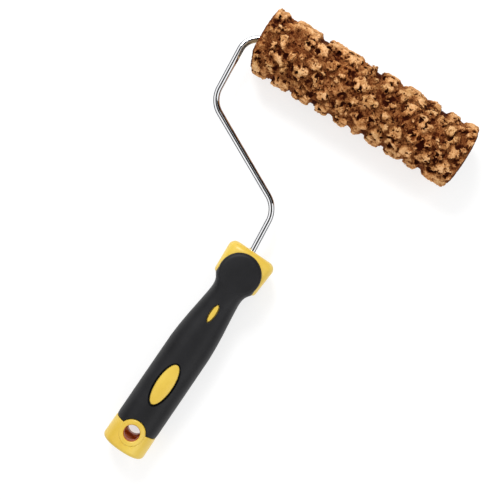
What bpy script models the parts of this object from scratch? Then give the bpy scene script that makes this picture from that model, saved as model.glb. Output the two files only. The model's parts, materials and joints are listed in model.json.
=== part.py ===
"""Texture roller: a bent wire frame with a soft-grip handle, a free-spinning wire cage and a
sea-sponge cover that slides off the cage.

The tool lies on the floor on its sponge cover and on the butt of its handle.
World axes: X along the roller's spin axis, Y up the tool from butt to roller, +Z up.

Two local frames carry the pieces:
  tool frame    origin at the cover's middle on the spin axis, X along it, Y up the tool
  handle frame  origin at the hang hole's centre, Y up the handle, Z through the hang hole
"""

import math

import bmesh
import bpy
from mathutils import Vector

MM = 0.001
GAP = 0.3 * MM

# Sponge cover and its tube.
COVER_LENGTH = 178 * MM
COVER_RADIUS = 27 * MM
COVER_END_RADIUS = 5 * MM
TUBE_LENGTH = 176 * MM
TUBE_BORE_RADIUS = 19 * MM
TUBE_WALL = 2 * MM

# Bent rod. Each corner is (x, y, bend radius) in the tool frame, from the free end to the anchor.
ROD_RADIUS = 3 * MM
ROD_FREE_END_X = 86.5 * MM
ROD_CORNERS = [
    (-99.2 * MM, 0 * MM, 15 * MM),
    (-96.1 * MM, -59.9 * MM, 19.5 * MM),
    (-13.6 * MM, -104.7 * MM, 20 * MM),
]
ROD_KINK_H = 143.6 * MM
ROD_KINK_RADIUS = 30 * MM
ROD_ANCHOR_H = 94 * MM

# Cage stack along the spin axis.
STOP_COLLAR_X = -82.7 * MM
STOP_COLLAR_LENGTH = 3 * MM
STOP_COLLAR_RADIUS = 5.6 * MM
WASHER_RADIUS = 7 * MM
WASHER_THICKNESS = 1 * MM
BUSH_RADIUS = 6 * MM
BUSH_FLANGE_RADIUS = 8.4 * MM
BUSH_FLANGE_THICKNESS = 1.5 * MM
CAP_RADIUS = 18.4 * MM
CAP_HUB_RADIUS = 10.5 * MM
CAP_RIM_RADIUS = 13.2 * MM
INNER_CAP_LENGTH = 10 * MM
OUTER_CAP_LENGTH = 16 * MM
OUTER_CAP_FACE_X = 86.5 * MM
PUSH_NUT_POCKET_DEPTH = 8 * MM
PUSH_NUT_RADIUS = 7.2 * MM
PUSH_NUT_THICKNESS = 1.4 * MM
CAGE_WIRES = 5
CAGE_WIRE_RADIUS = 1 * MM
CAGE_WIRE_ROOT_RADIUS = 15.8 * MM
CAGE_WIRE_BOW_RADIUS = TUBE_BORE_RADIUS - GAP - CAGE_WIRE_RADIUS
CAGE_WIRE_SOCKET_DEPTH = 5 * MM
SPIDER_THICKNESS = 4 * MM
SPIDER_RADIUS = 17 * MM
SPIDER_HUB_RADIUS = 7 * MM

# Handle. Widths and depths are half sizes. H is the height up the handle from the hang hole.
HANG_HOLE_XY = (-18.7 * MM, -302.2 * MM)
HANDLE_LEAN = math.radians(3.17)
HANG_HOLE_RADIUS = 6 * MM
BUTT_FACE_H = -16.1 * MM
BUTT_WIDTH = 17.6 * MM
BUTT_DEPTH = 16.8 * MM
BUTT_CORNER = 3.2 * MM
BUTT_TOP_H = 3 * MM
BOSS_RADIUS = 10.1 * MM
BOSS_WIDTH = 17 * MM
BOSS_DEPTH = 17.2 * MM
GRIP_WALL = 2.6 * MM
COLLAR_TOP_H = 161.2 * MM
COLLAR_WIDTH = 19.6 * MM
COLLAR_DEPTH = 14.5 * MM
COLLAR_CORNER = 5.5 * MM
BULB_H = 141.3 * MM
BULB_RADIUS = 16.4 * MM
BULB_DEPTH = 17.5 * MM
BULB_EDGE = 3.5 * MM
LARGE_WINDOW = (42.9 * MM, 6.3 * MM, 17.2 * MM)
SMALL_WINDOW = (106.4 * MM, 1.9 * MM, 7.1 * MM)
ISLAND_DROP = 0.4 * MM
SOCKET_RADIUS = 9.8 * MM
SOCKET_TOP_H = 24 * MM
CORE_OUT_RADIUS = 8 * MM
CORE_OUT_TOP_H = 82 * MM

# Sections of the grip's skin, from its lower lip to the bulb: (h, half width, half depth, power).
# A power of 2 is an oval, and a higher power is squarer.
GRIP_SKIN = [
    (3.3 * MM, 16.9 * MM, 16.2 * MM, 2.2),
    (4.3 * MM, 17.3 * MM, 16.6 * MM, 2.2),
    (40 * MM, 17.3 * MM, 16.4 * MM, 2.2),
    (75 * MM, 17.2 * MM, 15.9 * MM, 2.2),
    (85 * MM, 16.6 * MM, 15.4 * MM, 2.2),
    (96 * MM, 15.5 * MM, 14.7 * MM, 2.2),
    (107 * MM, 14.1 * MM, 13.9 * MM, 2.2),
    (116 * MM, 13 * MM, 13.3 * MM, 2.2),
    (122.5 * MM, 12.4 * MM, 13.3 * MM, 2.3),
    (126.5 * MM, 12.6 * MM, 13.9 * MM, 2.5),
    (129.8 * MM, 13.6 * MM, 14.9 * MM, 2.8),
    (131.8 * MM, 15 * MM, 15.8 * MM, 3.2),
    (133 * MM, 16.4 * MM, 16.3 * MM, 3.8),
    (141.3 * MM, 16.2 * MM, 17.2 * MM, 6),
]
NECK_TOP_H = 128 * MM

SIDES = 32
SMALL_SIDES = 24
BUTT_POWER = 2.2
COLLAR_POWER = 3.4

YELLOW = (0.87, 0.58, 0.06)
BLACK = (0.028, 0.028, 0.03)
CHROME = (0.85, 0.86, 0.88)
STEEL = (0.62, 0.63, 0.65)
WHITE_NYLON = (0.8, 0.8, 0.76)
GREY_PLASTIC = (0.1, 0.1, 0.11)
CARDBOARD = (0.55, 0.4, 0.24)
SPONGE = (0.58, 0.3, 0.1)


# Scene and object helpers.


def clear_scene():
    for old in list(bpy.data.objects):
        bpy.data.objects.remove(old, do_unlink=True)


def new_collection(name):
    made = bpy.data.collections.new(name)
    bpy.context.scene.collection.children.link(made)
    return made


def new_material(name, colour, roughness, metallic):
    made = bpy.data.materials.new(name)
    made.use_nodes = True
    shader = made.node_tree.nodes["Principled BSDF"]
    shader.inputs["Base Color"].default_value = (*colour, 1)
    shader.inputs["Roughness"].default_value = roughness
    shader.inputs["Metallic"].default_value = metallic
    return made


def new_frame(name, location, rotation, parent):
    frame = bpy.data.objects.new(name, None)
    frame.location = location
    frame.rotation_euler = rotation
    frame.parent = parent
    PARTS.objects.link(frame)
    return frame


def add_piece(name, data, parent, look):
    piece = bpy.data.objects.new(name, data)
    piece.parent = parent
    PARTS.objects.link(piece)
    data.materials.append(look)
    return piece


def add_cutter(name, data, parent):
    cutter = bpy.data.objects.new(name, data)
    cutter.parent = parent
    cutter.hide_render = True
    cutter.display_type = "WIRE"
    CUTTERS.objects.link(cutter)
    return cutter


def apply_boolean(piece, operation, other):
    modifier = piece.modifiers.new(other.name, "BOOLEAN")
    modifier.operation = operation
    modifier.object = other


def shade_round(mesh):
    mesh.shade_smooth()
    mesh.set_sharp_from_angle(angle=math.radians(35))


# Shapes.


def outline_mesh(name, points, closed):
    mesh = bpy.data.meshes.new(name)
    edges = [(i, i + 1) for i in range(len(points) - 1)]
    if closed:
        edges.append((len(points) - 1, 0))
    mesh.from_pydata([(radius, 0, along) for radius, along in points], edges, [])
    return mesh


def turn(piece, steps=SIDES):
    """Spins a profile about the piece's own Z axis."""
    screw = piece.modifiers.new("turned", "SCREW")
    screw.steps = steps
    screw.render_steps = steps
    screw.use_merge_vertices = True
    screw.merge_threshold = 0.00001
    screw.use_smooth_shade = True


def turned_ring(name, profile, parent, look, steps=SIDES):
    """A ring about the spin axis. The profile is (radius, x), and runs outer side first."""
    piece = add_piece(name, outline_mesh(name, profile, closed=True), parent, look)
    piece.rotation_euler = (0, math.pi / 2, 0)
    turn(piece, steps)
    return piece


def plain_ring(name, start, length, bore, radius, parent, look, steps=SMALL_SIDES):
    end = start + length
    profile = [(radius, end), (radius, start), (bore, start), (bore, end)]
    return turned_ring(name, profile, parent, look, steps)


def section_ring(shape, station, power, sides=SIDES):
    """One rounded section across the handle, as vertices at height h."""
    height, width, depth = station
    ring = []
    for i in range(sides):
        angle = 2 * math.pi * i / sides
        across = math.copysign(abs(math.cos(angle)) ** (2 / power), math.cos(angle))
        out = math.copysign(abs(math.sin(angle)) ** (2 / power), math.sin(angle))
        ring.append(shape.verts.new((width * across, height, depth * out)))
    return ring


def join_rings(shape, rings, closed):
    pairs = list(zip(rings, rings[1:]))
    if closed:
        pairs.append((rings[-1], rings[0]))
    for lower, upper in pairs:
        for i in range(len(lower)):
            j = (i + 1) % len(lower)
            shape.faces.new((lower[i], lower[j], upper[j], upper[i]))
    if not closed:
        shape.faces.new(rings[0])
        shape.faces.new(rings[-1])


def loft(name, stations, closed=False):
    """Skins rounded sections (h, half width, half depth, power) into one closed mesh."""
    shape = bmesh.new()
    rings = [section_ring(shape, s[:3], s[3]) for s in stations]
    join_rings(shape, rings, closed)
    bmesh.ops.recalc_face_normals(shape, faces=shape.faces)
    mesh = bpy.data.meshes.new(name)
    shape.to_mesh(mesh)
    shape.free()
    shade_round(mesh)
    return mesh


def grown(stations, amount):
    return [(h, width + amount, depth + amount, power) for h, width, depth, power in stations]


def prism(name, centre_h, half_width, half_height, half_depth, sides=SIDES):
    """An upright oval prism through the handle's thickness."""
    shape = bmesh.new()
    bmesh.ops.create_cone(
        shape,
        cap_ends=True,
        segments=sides,
        radius1=1,
        radius2=1,
        depth=2,
    )
    bmesh.ops.scale(shape, vec=(half_width, half_height, half_depth), verts=shape.verts)
    bmesh.ops.translate(shape, vec=(0, centre_h, 0), verts=shape.verts)
    mesh = bpy.data.meshes.new(name)
    shape.to_mesh(mesh)
    shape.free()
    shade_round(mesh)
    return mesh


def arc_points(before, corner, after, radius, steps):
    """The points of a bend that rounds one corner of a path."""
    back = (before - corner).normalized()
    ahead = (after - corner).normalized()
    half_angle = back.angle(ahead) / 2
    centre = corner + (back + ahead).normalized() * radius / math.sin(half_angle)
    start = corner + back * radius / math.tan(half_angle) - centre
    end = corner + ahead * radius / math.tan(half_angle) - centre
    return [centre + radius * start.slerp(end, i / steps) for i in range(steps + 1)]


def wire_curve(name, points, radius):
    curve = bpy.data.curves.new(name, "CURVE")
    curve.dimensions = "3D"
    curve.bevel_depth = radius
    curve.bevel_resolution = 2
    curve.use_fill_caps = True
    line = curve.splines.new("POLY")
    line.points.add(len(points) - 1)
    for slot, point in zip(line.points, points):
        slot.co = (*point, 1)
    return curve


def wire_cutter(name, points, radius, parent):
    """A solid wire as a mesh, so that it can cut."""
    guide = bpy.data.objects.new(name, wire_curve(name, points, radius))
    CUTTERS.objects.link(guide)
    graph = bpy.context.evaluated_depsgraph_get()
    mesh = bpy.data.meshes.new_from_object(guide.evaluated_get(graph))
    bpy.data.objects.remove(guide, do_unlink=True)
    shape = bmesh.new()
    shape.from_mesh(mesh)
    bmesh.ops.remove_doubles(shape, verts=shape.verts, dist=0.00001)
    shape.to_mesh(mesh)
    shape.free()
    return add_cutter(name, mesh, parent)


# The rod.


def handle_point(height):
    """A point on the handle's axis, in the tool frame."""
    x = HANG_HOLE_XY[0] + height * math.sin(HANDLE_LEAN)
    y = HANG_HOLE_XY[1] + height * math.cos(HANDLE_LEAN)
    return Vector((x, y, 0))


def rod_points():
    free_end = Vector((ROD_FREE_END_X, 0, 0))
    corners = [(Vector((x, y, 0)), radius, 8) for x, y, radius in ROD_CORNERS]
    corners.append((handle_point(ROD_KINK_H), ROD_KINK_RADIUS, 2))
    anchor = handle_point(ROD_ANCHOR_H)
    stops = [free_end] + [corner for corner, radius, steps in corners] + [anchor]
    points = [free_end]
    for i, (corner, radius, steps) in enumerate(corners):
        points += arc_points(stops[i], corner, stops[i + 2], radius, steps)
    points.append(anchor)
    return points


def make_rod(tool, look):
    points = rod_points()
    add_piece("wire_frame_rod", wire_curve("wire_frame_rod", points, ROD_RADIUS), tool, look)


# The handle.


def rounded_end(face_h, inward, width, depth, corner):
    """Sections of a rounded end, from its flat face inward. inward is +1 or -1 along h."""
    sections = []
    for i in range(5):
        angle = math.pi / 8 * i
        height = face_h + inward * corner * (1 - math.cos(angle))
        inset = corner * (1 - math.sin(angle))
        sections.append((height, width - inset, depth - inset))
    return sections


def with_power(sections, power):
    return [(h, width, depth, power) for h, width, depth in sections]


def butt_stations():
    lower = rounded_end(BUTT_FACE_H, 1, BUTT_WIDTH, BUTT_DEPTH, BUTT_CORNER)
    lower.append((0, 17.4 * MM, 16.7 * MM))
    lower.append((BUTT_TOP_H, 17.3 * MM, 16.6 * MM))
    return with_power(lower, BUTT_POWER)


def neck_stations():
    """The part of the core that the grip wraps, one grip wall and one gap inside its skin."""
    wrapped = [s for s in GRIP_SKIN[1:] if s[0] < NECK_TOP_H]
    first = (BUTT_TOP_H, *wrapped[0][1:])
    return grown([first] + wrapped, -GRIP_WALL - GAP)


def collar_stations():
    under = [
        (133 * MM, 16.2 * MM, 12.4 * MM),
        (134 * MM, 17.7 * MM, 13.8 * MM),
        (135.5 * MM, 18.3 * MM, COLLAR_DEPTH),
    ]
    top = rounded_end(COLLAR_TOP_H, -1, COLLAR_WIDTH, COLLAR_DEPTH, COLLAR_CORNER)
    return with_power(under + top[::-1], COLLAR_POWER)


def core_stations():
    return butt_stations() + neck_stations() + collar_stations()


def cut_sockets(core, handle, tool):
    """The pole socket with the hollow above it, the hang hole and the rod's bore."""
    profile = [
        (0, CORE_OUT_TOP_H),
        (CORE_OUT_RADIUS, CORE_OUT_TOP_H - CORE_OUT_RADIUS / 2),
        (CORE_OUT_RADIUS, SOCKET_TOP_H),
        (SOCKET_RADIUS, SOCKET_TOP_H),
        (SOCKET_RADIUS, BUTT_FACE_H - 5 * MM),
        (0, BUTT_FACE_H - 5 * MM),
    ]
    socket = add_cutter("pole_socket", outline_mesh("pole_socket", profile, False), handle)
    socket.rotation_euler = (-math.pi / 2, 0, 0)
    turn(socket)
    apply_boolean(core, "DIFFERENCE", socket)
    through = prism("hang_hole", 0, HANG_HOLE_RADIUS, HANG_HOLE_RADIUS, 30 * MM, 24)
    apply_boolean(core, "DIFFERENCE", add_cutter("hang_hole", through, handle))
    bore_points = rod_points()[-5:]
    bore = wire_cutter("rod_bore", bore_points, ROD_RADIUS + GAP, tool)
    apply_boolean(core, "DIFFERENCE", bore)


def add_raised_shape(core, name, outline, envelope_stations, handle):
    """Joins to the core the part of a prism that lies within a skin."""
    raised = add_cutter(name, outline, handle)
    envelope = add_cutter(name + "_skin", loft(name + "_skin", envelope_stations), handle)
    apply_boolean(raised, "INTERSECT", envelope)
    apply_boolean(core, "UNION", raised)


def make_handle_core(handle, tool, look):
    core = add_piece("handle_core", loft("handle_core", core_stations()), handle, look)
    boss = prism("hang_hole_boss", 0, BOSS_RADIUS, BOSS_RADIUS, 30 * MM)
    boss_skin = [
        (-12 * MM, BOSS_WIDTH, BOSS_DEPTH, BUTT_POWER),
        (14 * MM, BOSS_WIDTH, BOSS_DEPTH, BUTT_POWER),
    ]
    add_raised_shape(core, "hang_hole_boss", boss, boss_skin, handle)
    skin = grown(GRIP_SKIN, -ISLAND_DROP)
    for name, (height, width, half_height) in WINDOWS.items():
        oval = prism(name, height, width, half_height, 30 * MM)
        add_raised_shape(core, name, oval, skin, handle)
    cut_sockets(core, handle, tool)


def bulb_profile():
    """Half of the bulb's section, from the pole down the outer side to the other pole."""
    flat = BULB_DEPTH - BULB_EDGE
    rim = BULB_RADIUS - BULB_EDGE
    upper = [(0, BULB_DEPTH), (rim / 2, BULB_DEPTH - 0.3 * MM)]
    for i in range(5):
        angle = math.pi / 8 * (i + 0.4) / 1.1
        upper.append((rim + BULB_EDGE * math.sin(angle), flat + BULB_EDGE * math.cos(angle)))
    return upper + [(radius, -z) for radius, z in reversed(upper)]


def make_grip_sleeve(handle, look):
    wrapped = [s for s in GRIP_SKIN if s[0] < NECK_TOP_H]
    inner = grown(wrapped, -GRIP_WALL)
    inner.append((BULB_H, 12 * MM, 12 * MM, COLLAR_POWER))
    skin = loft("grip_sleeve", GRIP_SKIN + inner[::-1], closed=True)
    grip = add_piece("grip_sleeve", skin, handle, look)
    bulb = add_cutter("bulb", outline_mesh("bulb", bulb_profile(), False), handle)
    bulb.location = (0, BULB_H, 0)
    turn(bulb)
    apply_boolean(grip, "UNION", bulb)
    clearance = loft("core_clearance", grown(neck_stations() + collar_stations(), GAP))
    apply_boolean(grip, "DIFFERENCE", add_cutter("core_clearance", clearance, handle))
    notch = BOSS_RADIUS + GAP
    cuts = {"boss_notch": (0, notch, notch)}
    for name, (height, width, half_height) in WINDOWS.items():
        cuts[name + "_opening"] = (height, width + GAP, half_height + GAP)
    for name, (height, width, half_height) in cuts.items():
        cutter = add_cutter(name, prism(name, height, width, half_height, 30 * MM), handle)
        apply_boolean(grip, "DIFFERENCE", cutter)


# The cage and what holds it on the rod.


def make_retainers(axle, steel):
    bore = ROD_RADIUS + GAP
    washer_x = STOP_COLLAR_X + STOP_COLLAR_LENGTH + GAP
    plain_ring(
        "inner_stop_collar",
        STOP_COLLAR_X,
        STOP_COLLAR_LENGTH,
        bore,
        STOP_COLLAR_RADIUS,
        axle,
        steel,
    )
    plain_ring("inner_washer", washer_x, WASHER_THICKNESS, bore, WASHER_RADIUS, axle, steel)
    outer_washer_x = outer_flange_x() + BUSH_FLANGE_THICKNESS + GAP
    plain_ring("outer_washer", outer_washer_x, WASHER_THICKNESS, bore, WASHER_RADIUS, axle, steel)
    nut_x = outer_washer_x + WASHER_THICKNESS + GAP
    nut_end = nut_x + PUSH_NUT_THICKNESS
    profile = [
        (PUSH_NUT_RADIUS, nut_end),
        (PUSH_NUT_RADIUS, nut_x),
        (PUSH_NUT_RADIUS - 0.8 * MM, nut_x),
        (PUSH_NUT_RADIUS - 0.8 * MM, nut_x + 0.7 * MM),
        (bore, nut_x + 0.2 * MM),
        (bore, nut_end - 0.4 * MM),
        (PUSH_NUT_RADIUS - 1.2 * MM, nut_end),
    ]
    turned_ring("push_nut", profile, axle, steel, SMALL_SIDES)


def inner_flange_x():
    return STOP_COLLAR_X + STOP_COLLAR_LENGTH + WASHER_THICKNESS + 2 * GAP


def inner_cap_x():
    return inner_flange_x() + BUSH_FLANGE_THICKNESS + GAP


def outer_flange_x():
    return OUTER_CAP_FACE_X - PUSH_NUT_POCKET_DEPTH + GAP


def make_bushes(axle, look):
    bore = ROD_RADIUS + GAP
    face = inner_flange_x()
    seat = face + BUSH_FLANGE_THICKNESS
    end = inner_cap_x() + INNER_CAP_LENGTH
    profile = [
        (BUSH_RADIUS, end),
        (BUSH_RADIUS, seat),
        (BUSH_FLANGE_RADIUS, seat),
        (BUSH_FLANGE_RADIUS, face),
        (bore, face),
        (bore, end),
    ]
    turned_ring("inner_bearing_bush", profile, axle, look, SMALL_SIDES)
    seat = outer_flange_x()
    face = seat + BUSH_FLANGE_THICKNESS
    end = OUTER_CAP_FACE_X - OUTER_CAP_LENGTH
    profile = [
        (BUSH_FLANGE_RADIUS, face),
        (BUSH_FLANGE_RADIUS, seat),
        (BUSH_RADIUS, seat),
        (BUSH_RADIUS, end),
        (bore, end),
        (bore, face),
    ]
    turned_ring("outer_bearing_bush", profile, axle, look, SMALL_SIDES)


def cut_wire_sockets(cap, name, face_x, direction, axle):
    """Blind holes for the cage wires, in the cap's face that looks into the cage."""
    end_x = face_x + direction * CAGE_WIRE_SOCKET_DEPTH
    for i in range(CAGE_WIRES):
        start = cage_wire_point(face_x - direction * 2 * MM, i)
        end = cage_wire_point(end_x, i)
        hole = wire_cutter(f"{name}_{i + 1}", [start, end], CAGE_WIRE_RADIUS + GAP, axle)
        apply_boolean(cap, "DIFFERENCE", hole)


def make_inner_cap(axle, look):
    start = inner_cap_x()
    end = start + INNER_CAP_LENGTH
    bore = BUSH_RADIUS + GAP
    profile = [
        (CAP_RADIUS - 0.8 * MM, end),
        (CAP_RADIUS, end - 0.8 * MM),
        (CAP_RADIUS, start + 1.5 * MM),
        (CAP_RADIUS - 1.5 * MM, start),
        (bore, start),
        (bore, end),
        (CAP_HUB_RADIUS, end),
        (CAP_HUB_RADIUS, start + 3 * MM),
        (CAP_RIM_RADIUS, start + 3 * MM),
        (CAP_RIM_RADIUS, end),
    ]
    cap = turned_ring("inner_end_cap", profile, axle, look)
    cut_wire_sockets(cap, "inner_wire_socket", end, -1, axle)


def make_outer_cap(axle, look):
    face = OUTER_CAP_FACE_X
    start = face - OUTER_CAP_LENGTH
    floor = face - PUSH_NUT_POCKET_DEPTH
    bore = BUSH_RADIUS + GAP
    profile = [
        (CAP_RADIUS - 2 * MM, face),
        (CAP_RADIUS, face - 2 * MM),
        (CAP_RADIUS, start + 0.8 * MM),
        (CAP_RADIUS - 0.8 * MM, start),
        (bore, start),
        (bore, floor),
        (CAP_HUB_RADIUS - 0.5 * MM, floor),
        (CAP_HUB_RADIUS - 0.5 * MM, face),
    ]
    cap = turned_ring("outer_end_cap", profile, axle, look)
    cut_wire_sockets(cap, "outer_wire_socket", start, 1, axle)


def cage_span():
    """Where the bowed part of the cage wires starts and ends."""
    return inner_cap_x() + INNER_CAP_LENGTH, OUTER_CAP_FACE_X - OUTER_CAP_LENGTH


def cage_wire_point(x, index):
    start, end = cage_span()
    share = min(max((x - start) / (end - start), 0), 1)
    bow = math.sin(math.pi * share) ** 0.6
    radius = CAGE_WIRE_ROOT_RADIUS + bow * (CAGE_WIRE_BOW_RADIUS - CAGE_WIRE_ROOT_RADIUS)
    angle = 2 * math.pi * index / CAGE_WIRES + math.pi / 2
    return Vector((x, radius * math.cos(angle), radius * math.sin(angle)))


def make_cage_wires(axle, look):
    start, end = cage_span()
    reach = CAGE_WIRE_SOCKET_DEPTH - GAP
    stops = [start + (end - start) * i / 12 for i in range(13)]
    for i in range(CAGE_WIRES):
        points = [cage_wire_point(x, i) for x in [start - reach, *stops, end + reach]]
        name = f"cage_wire_{i + 1}"
        add_piece(name, wire_curve(name, points, CAGE_WIRE_RADIUS), axle, look)


def make_spider(axle, look):
    start, end = cage_span()
    middle = (start + end) / 2
    low = middle - SPIDER_THICKNESS / 2
    high = middle + SPIDER_THICKNESS / 2
    bore = ROD_RADIUS + GAP
    profile = [
        (SPIDER_HUB_RADIUS, high + 3 * MM),
        (SPIDER_HUB_RADIUS, high),
        (SPIDER_RADIUS, high),
        (SPIDER_RADIUS, low),
        (SPIDER_HUB_RADIUS, low),
        (SPIDER_HUB_RADIUS, low - 3 * MM),
        (bore, low - 3 * MM),
        (bore, high + 3 * MM),
    ]
    spider = turned_ring("cage_spider", profile, axle, look)
    for i in range(CAGE_WIRES):
        ends = [cage_wire_point(x, i) for x in (low - 4 * MM, high + 4 * MM)]
        notch = wire_cutter(f"spider_notch_{i + 1}", ends, CAGE_WIRE_RADIUS + GAP, axle)
        apply_boolean(spider, "DIFFERENCE", notch)


# The roller cover.


def make_cover(axle, cardboard, sponge):
    tube_radius = TUBE_BORE_RADIUS + TUBE_WALL
    plain_ring(
        "core_tube",
        -TUBE_LENGTH / 2,
        TUBE_LENGTH,
        TUBE_BORE_RADIUS,
        tube_radius,
        axle,
        cardboard,
        SIDES,
    )
    half = COVER_LENGTH / 2
    corner = COVER_END_RADIUS
    right = []
    for i in range(4):
        angle = math.pi / 6 * i
        radius = COVER_RADIUS - corner + corner * math.sin(angle)
        right.append((radius, half - corner + corner * math.cos(angle)))
    left = [(radius, -x) for radius, x in reversed(right)]
    bore = tube_radius + GAP
    profile = right + left + [(bore, -half), (bore, half)]
    turned_ring("sponge_cover", profile, axle, sponge)


# The whole tool.


def resting_pitch():
    """The tilt at which the cover and the hang hole's boss both touch the floor."""
    reach = -handle_point(-BOSS_RADIUS).y
    return math.asin(COVER_RADIUS / math.hypot(reach, BOSS_DEPTH)) - math.atan(BOSS_DEPTH / reach)


def centre_on_floor(tool):
    """Moves the tool so that the middle of its footprint is at the origin."""
    bpy.context.view_layer.update()
    graph = bpy.context.evaluated_depsgraph_get()
    corners = []
    for piece in PARTS.objects:
        if piece.data is not None:
            shown = piece.evaluated_get(graph)
            mesh = shown.to_mesh()
            corners += [piece.matrix_world @ vertex.co for vertex in mesh.vertices]
            shown.to_mesh_clear()
    for axis in (0, 1):
        values = [corner[axis] for corner in corners]
        tool.location[axis] -= (min(values) + max(values)) / 2
    tool.location[2] -= min(corner[2] for corner in corners)


clear_scene()
PARTS = new_collection("texture_roller")
CUTTERS = new_collection("cutters")
WINDOWS = {"large_oval": LARGE_WINDOW, "small_oval": SMALL_WINDOW}

TOOL = new_frame("tool_frame", (0, 0, COVER_RADIUS), (resting_pitch(), 0, 0), None)
AXLE = new_frame("roller_axle", (0, 0, 0), (0, 0, 0), TOOL)
HANDLE = new_frame("handle_frame", (*HANG_HOLE_XY, 0), (0, 0, -HANDLE_LEAN), TOOL)

CHROME_LOOK = new_material("chrome", CHROME, 0.08, 1)
STEEL_LOOK = new_material("bright_steel", STEEL, 0.3, 1)
YELLOW_LOOK = new_material("yellow_plastic", YELLOW, 0.35, 0)
GRIP_LOOK = new_material("black_grip_rubber", BLACK, 0.6, 0)
NYLON_LOOK = new_material("white_nylon", WHITE_NYLON, 0.45, 0)
CAP_LOOK = new_material("grey_cap_plastic", GREY_PLASTIC, 0.45, 0)
TUBE_LOOK = new_material("core_tube_board", CARDBOARD, 0.8, 0)
SPONGE_LOOK = new_material("sea_sponge", SPONGE, 0.9, 0)

make_rod(TOOL, CHROME_LOOK)
make_handle_core(HANDLE, TOOL, YELLOW_LOOK)
make_grip_sleeve(HANDLE, GRIP_LOOK)
make_retainers(AXLE, STEEL_LOOK)
make_bushes(AXLE, NYLON_LOOK)
make_inner_cap(AXLE, CAP_LOOK)
make_outer_cap(AXLE, CAP_LOOK)
make_cage_wires(AXLE, STEEL_LOOK)
make_spider(AXLE, CAP_LOOK)
make_cover(AXLE, TUBE_LOOK, SPONGE_LOOK)
centre_on_floor(TOOL)
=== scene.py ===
# %% [markdown]
# # A sea-sponge texture roller
#
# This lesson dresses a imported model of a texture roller: a bent chrome wire, a yellow handle core
# with a black soft grip, a wire cage that spins, and a cover of sea sponge that slides off it.
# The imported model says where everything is. Each step below replaces one plain solid by a finer
# mesh with its own finish, and leaves its place and size alone.

import json
import math

import bmesh
import bpy
import numpy as np
from mathutils import Matrix, Vector


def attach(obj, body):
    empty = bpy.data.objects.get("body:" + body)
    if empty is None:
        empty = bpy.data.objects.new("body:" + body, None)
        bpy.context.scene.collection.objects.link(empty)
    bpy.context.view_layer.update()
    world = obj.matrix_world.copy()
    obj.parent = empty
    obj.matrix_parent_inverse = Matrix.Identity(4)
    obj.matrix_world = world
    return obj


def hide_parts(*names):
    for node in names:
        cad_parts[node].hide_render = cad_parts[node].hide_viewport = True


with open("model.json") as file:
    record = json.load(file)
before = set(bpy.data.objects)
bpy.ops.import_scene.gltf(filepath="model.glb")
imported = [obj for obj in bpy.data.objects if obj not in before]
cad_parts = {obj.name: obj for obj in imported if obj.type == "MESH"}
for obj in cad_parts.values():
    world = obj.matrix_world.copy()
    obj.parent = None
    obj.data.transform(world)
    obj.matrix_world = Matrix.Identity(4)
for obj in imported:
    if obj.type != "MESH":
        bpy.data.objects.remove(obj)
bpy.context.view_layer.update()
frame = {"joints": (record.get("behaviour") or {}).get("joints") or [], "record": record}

# %% [markdown]
# ## Two frames to work in
#
# The tool lies on its sponge and on its butt, so it is pitched a little, and the handle also leans
# a little away from square to the roller. Modelling in world axes would put that tilt into every
# number. Instead each piece is drawn in one of two straight frames, and its finished mesh is moved
# into place once. The spin joint gives the first frame, and the butt's mount gives the second.

# %% Frames read from the joint and the mount
MM = 0.001
BUTT_FACE = -16.1
MOUNT_POINT_OUT = 12 * MM

spin = next(j for j in frame["joints"] if j["name"] == "roller_spin")
butt_mount = next(m for m in frame["record"]["mounts"] if m["name"] == "butt_face")
up_handle = -Vector(butt_mount["axis"]).normalized()
LEAN = math.asin(up_handle.x)
PITCH = math.atan2(up_handle.z, up_handle.y)

tilt = Matrix.Rotation(PITCH, 4, "X")
TOOL = Matrix.Translation(spin["pos_m"]) @ tilt
lean = tilt @ Matrix.Rotation(-LEAN, 4, "Z")
face_point = lean @ Vector((MOUNT_POINT_OUT, BUTT_FACE * MM, 0))
HANDLE = Matrix.Translation(Vector(butt_mount["pos_m"]) - face_point) @ lean
print("pitch", round(math.degrees(PITCH), 2), "lean", round(math.degrees(LEAN), 2), "degrees")

# %% [markdown]
# ## The camera
#
# The camera looks square down at the tool from under a metre away, and it is turned so that the
# tool lies across the picture.

# %% The camera
CAMERA_DISTANCE = 0.72
FRAME_WIDTH_AT_TOOL = 0.3771
SENSOR = 36.0
VIEW_CENTRE = (-13.7 * MM, -141.5 * MM)
VIEW_TURN = math.radians(31.1)

camera_data = bpy.data.cameras.new("camera")
camera_data.sensor_width = SENSOR
camera_data.lens = SENSOR * CAMERA_DISTANCE / FRAME_WIDTH_AT_TOOL
camera = bpy.data.objects.new("camera", camera_data)
eye = Matrix.Translation((*VIEW_CENTRE, CAMERA_DISTANCE)) @ Matrix.Rotation(VIEW_TURN, 4, "Z")
camera.matrix_world = TOOL @ eye
bpy.context.scene.collection.objects.link(camera)
bpy.context.scene.camera = camera
print("lens", round(camera_data.lens, 1), "mm")

# %% [markdown]
# ## Building node trees
#
# The world, the finishes and several shapes are node trees. Most of their inputs take either
# a plain value or another node's output, so one function, feed, tells the two apart and the
# others build on it.

# %% Node helpers
def feed(tree, target, value):
    """Gives an input a value, or links it when the value is a socket. None leaves it alone."""
    if isinstance(value, bpy.types.NodeSocket):
        tree.links.new(value, target)
    elif value is not None:
        target.default_value = value


def add_node(tree, kind, inputs=None, **settings):
    """A new node. Settings name its properties, and inputs feeds sockets by name or number."""
    made = tree.nodes.new(kind)
    for key, value in settings.items():
        setattr(made, key, value)
    for key, value in (inputs or {}).items():
        feed(tree, made.inputs[key], value)
    return made


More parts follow.
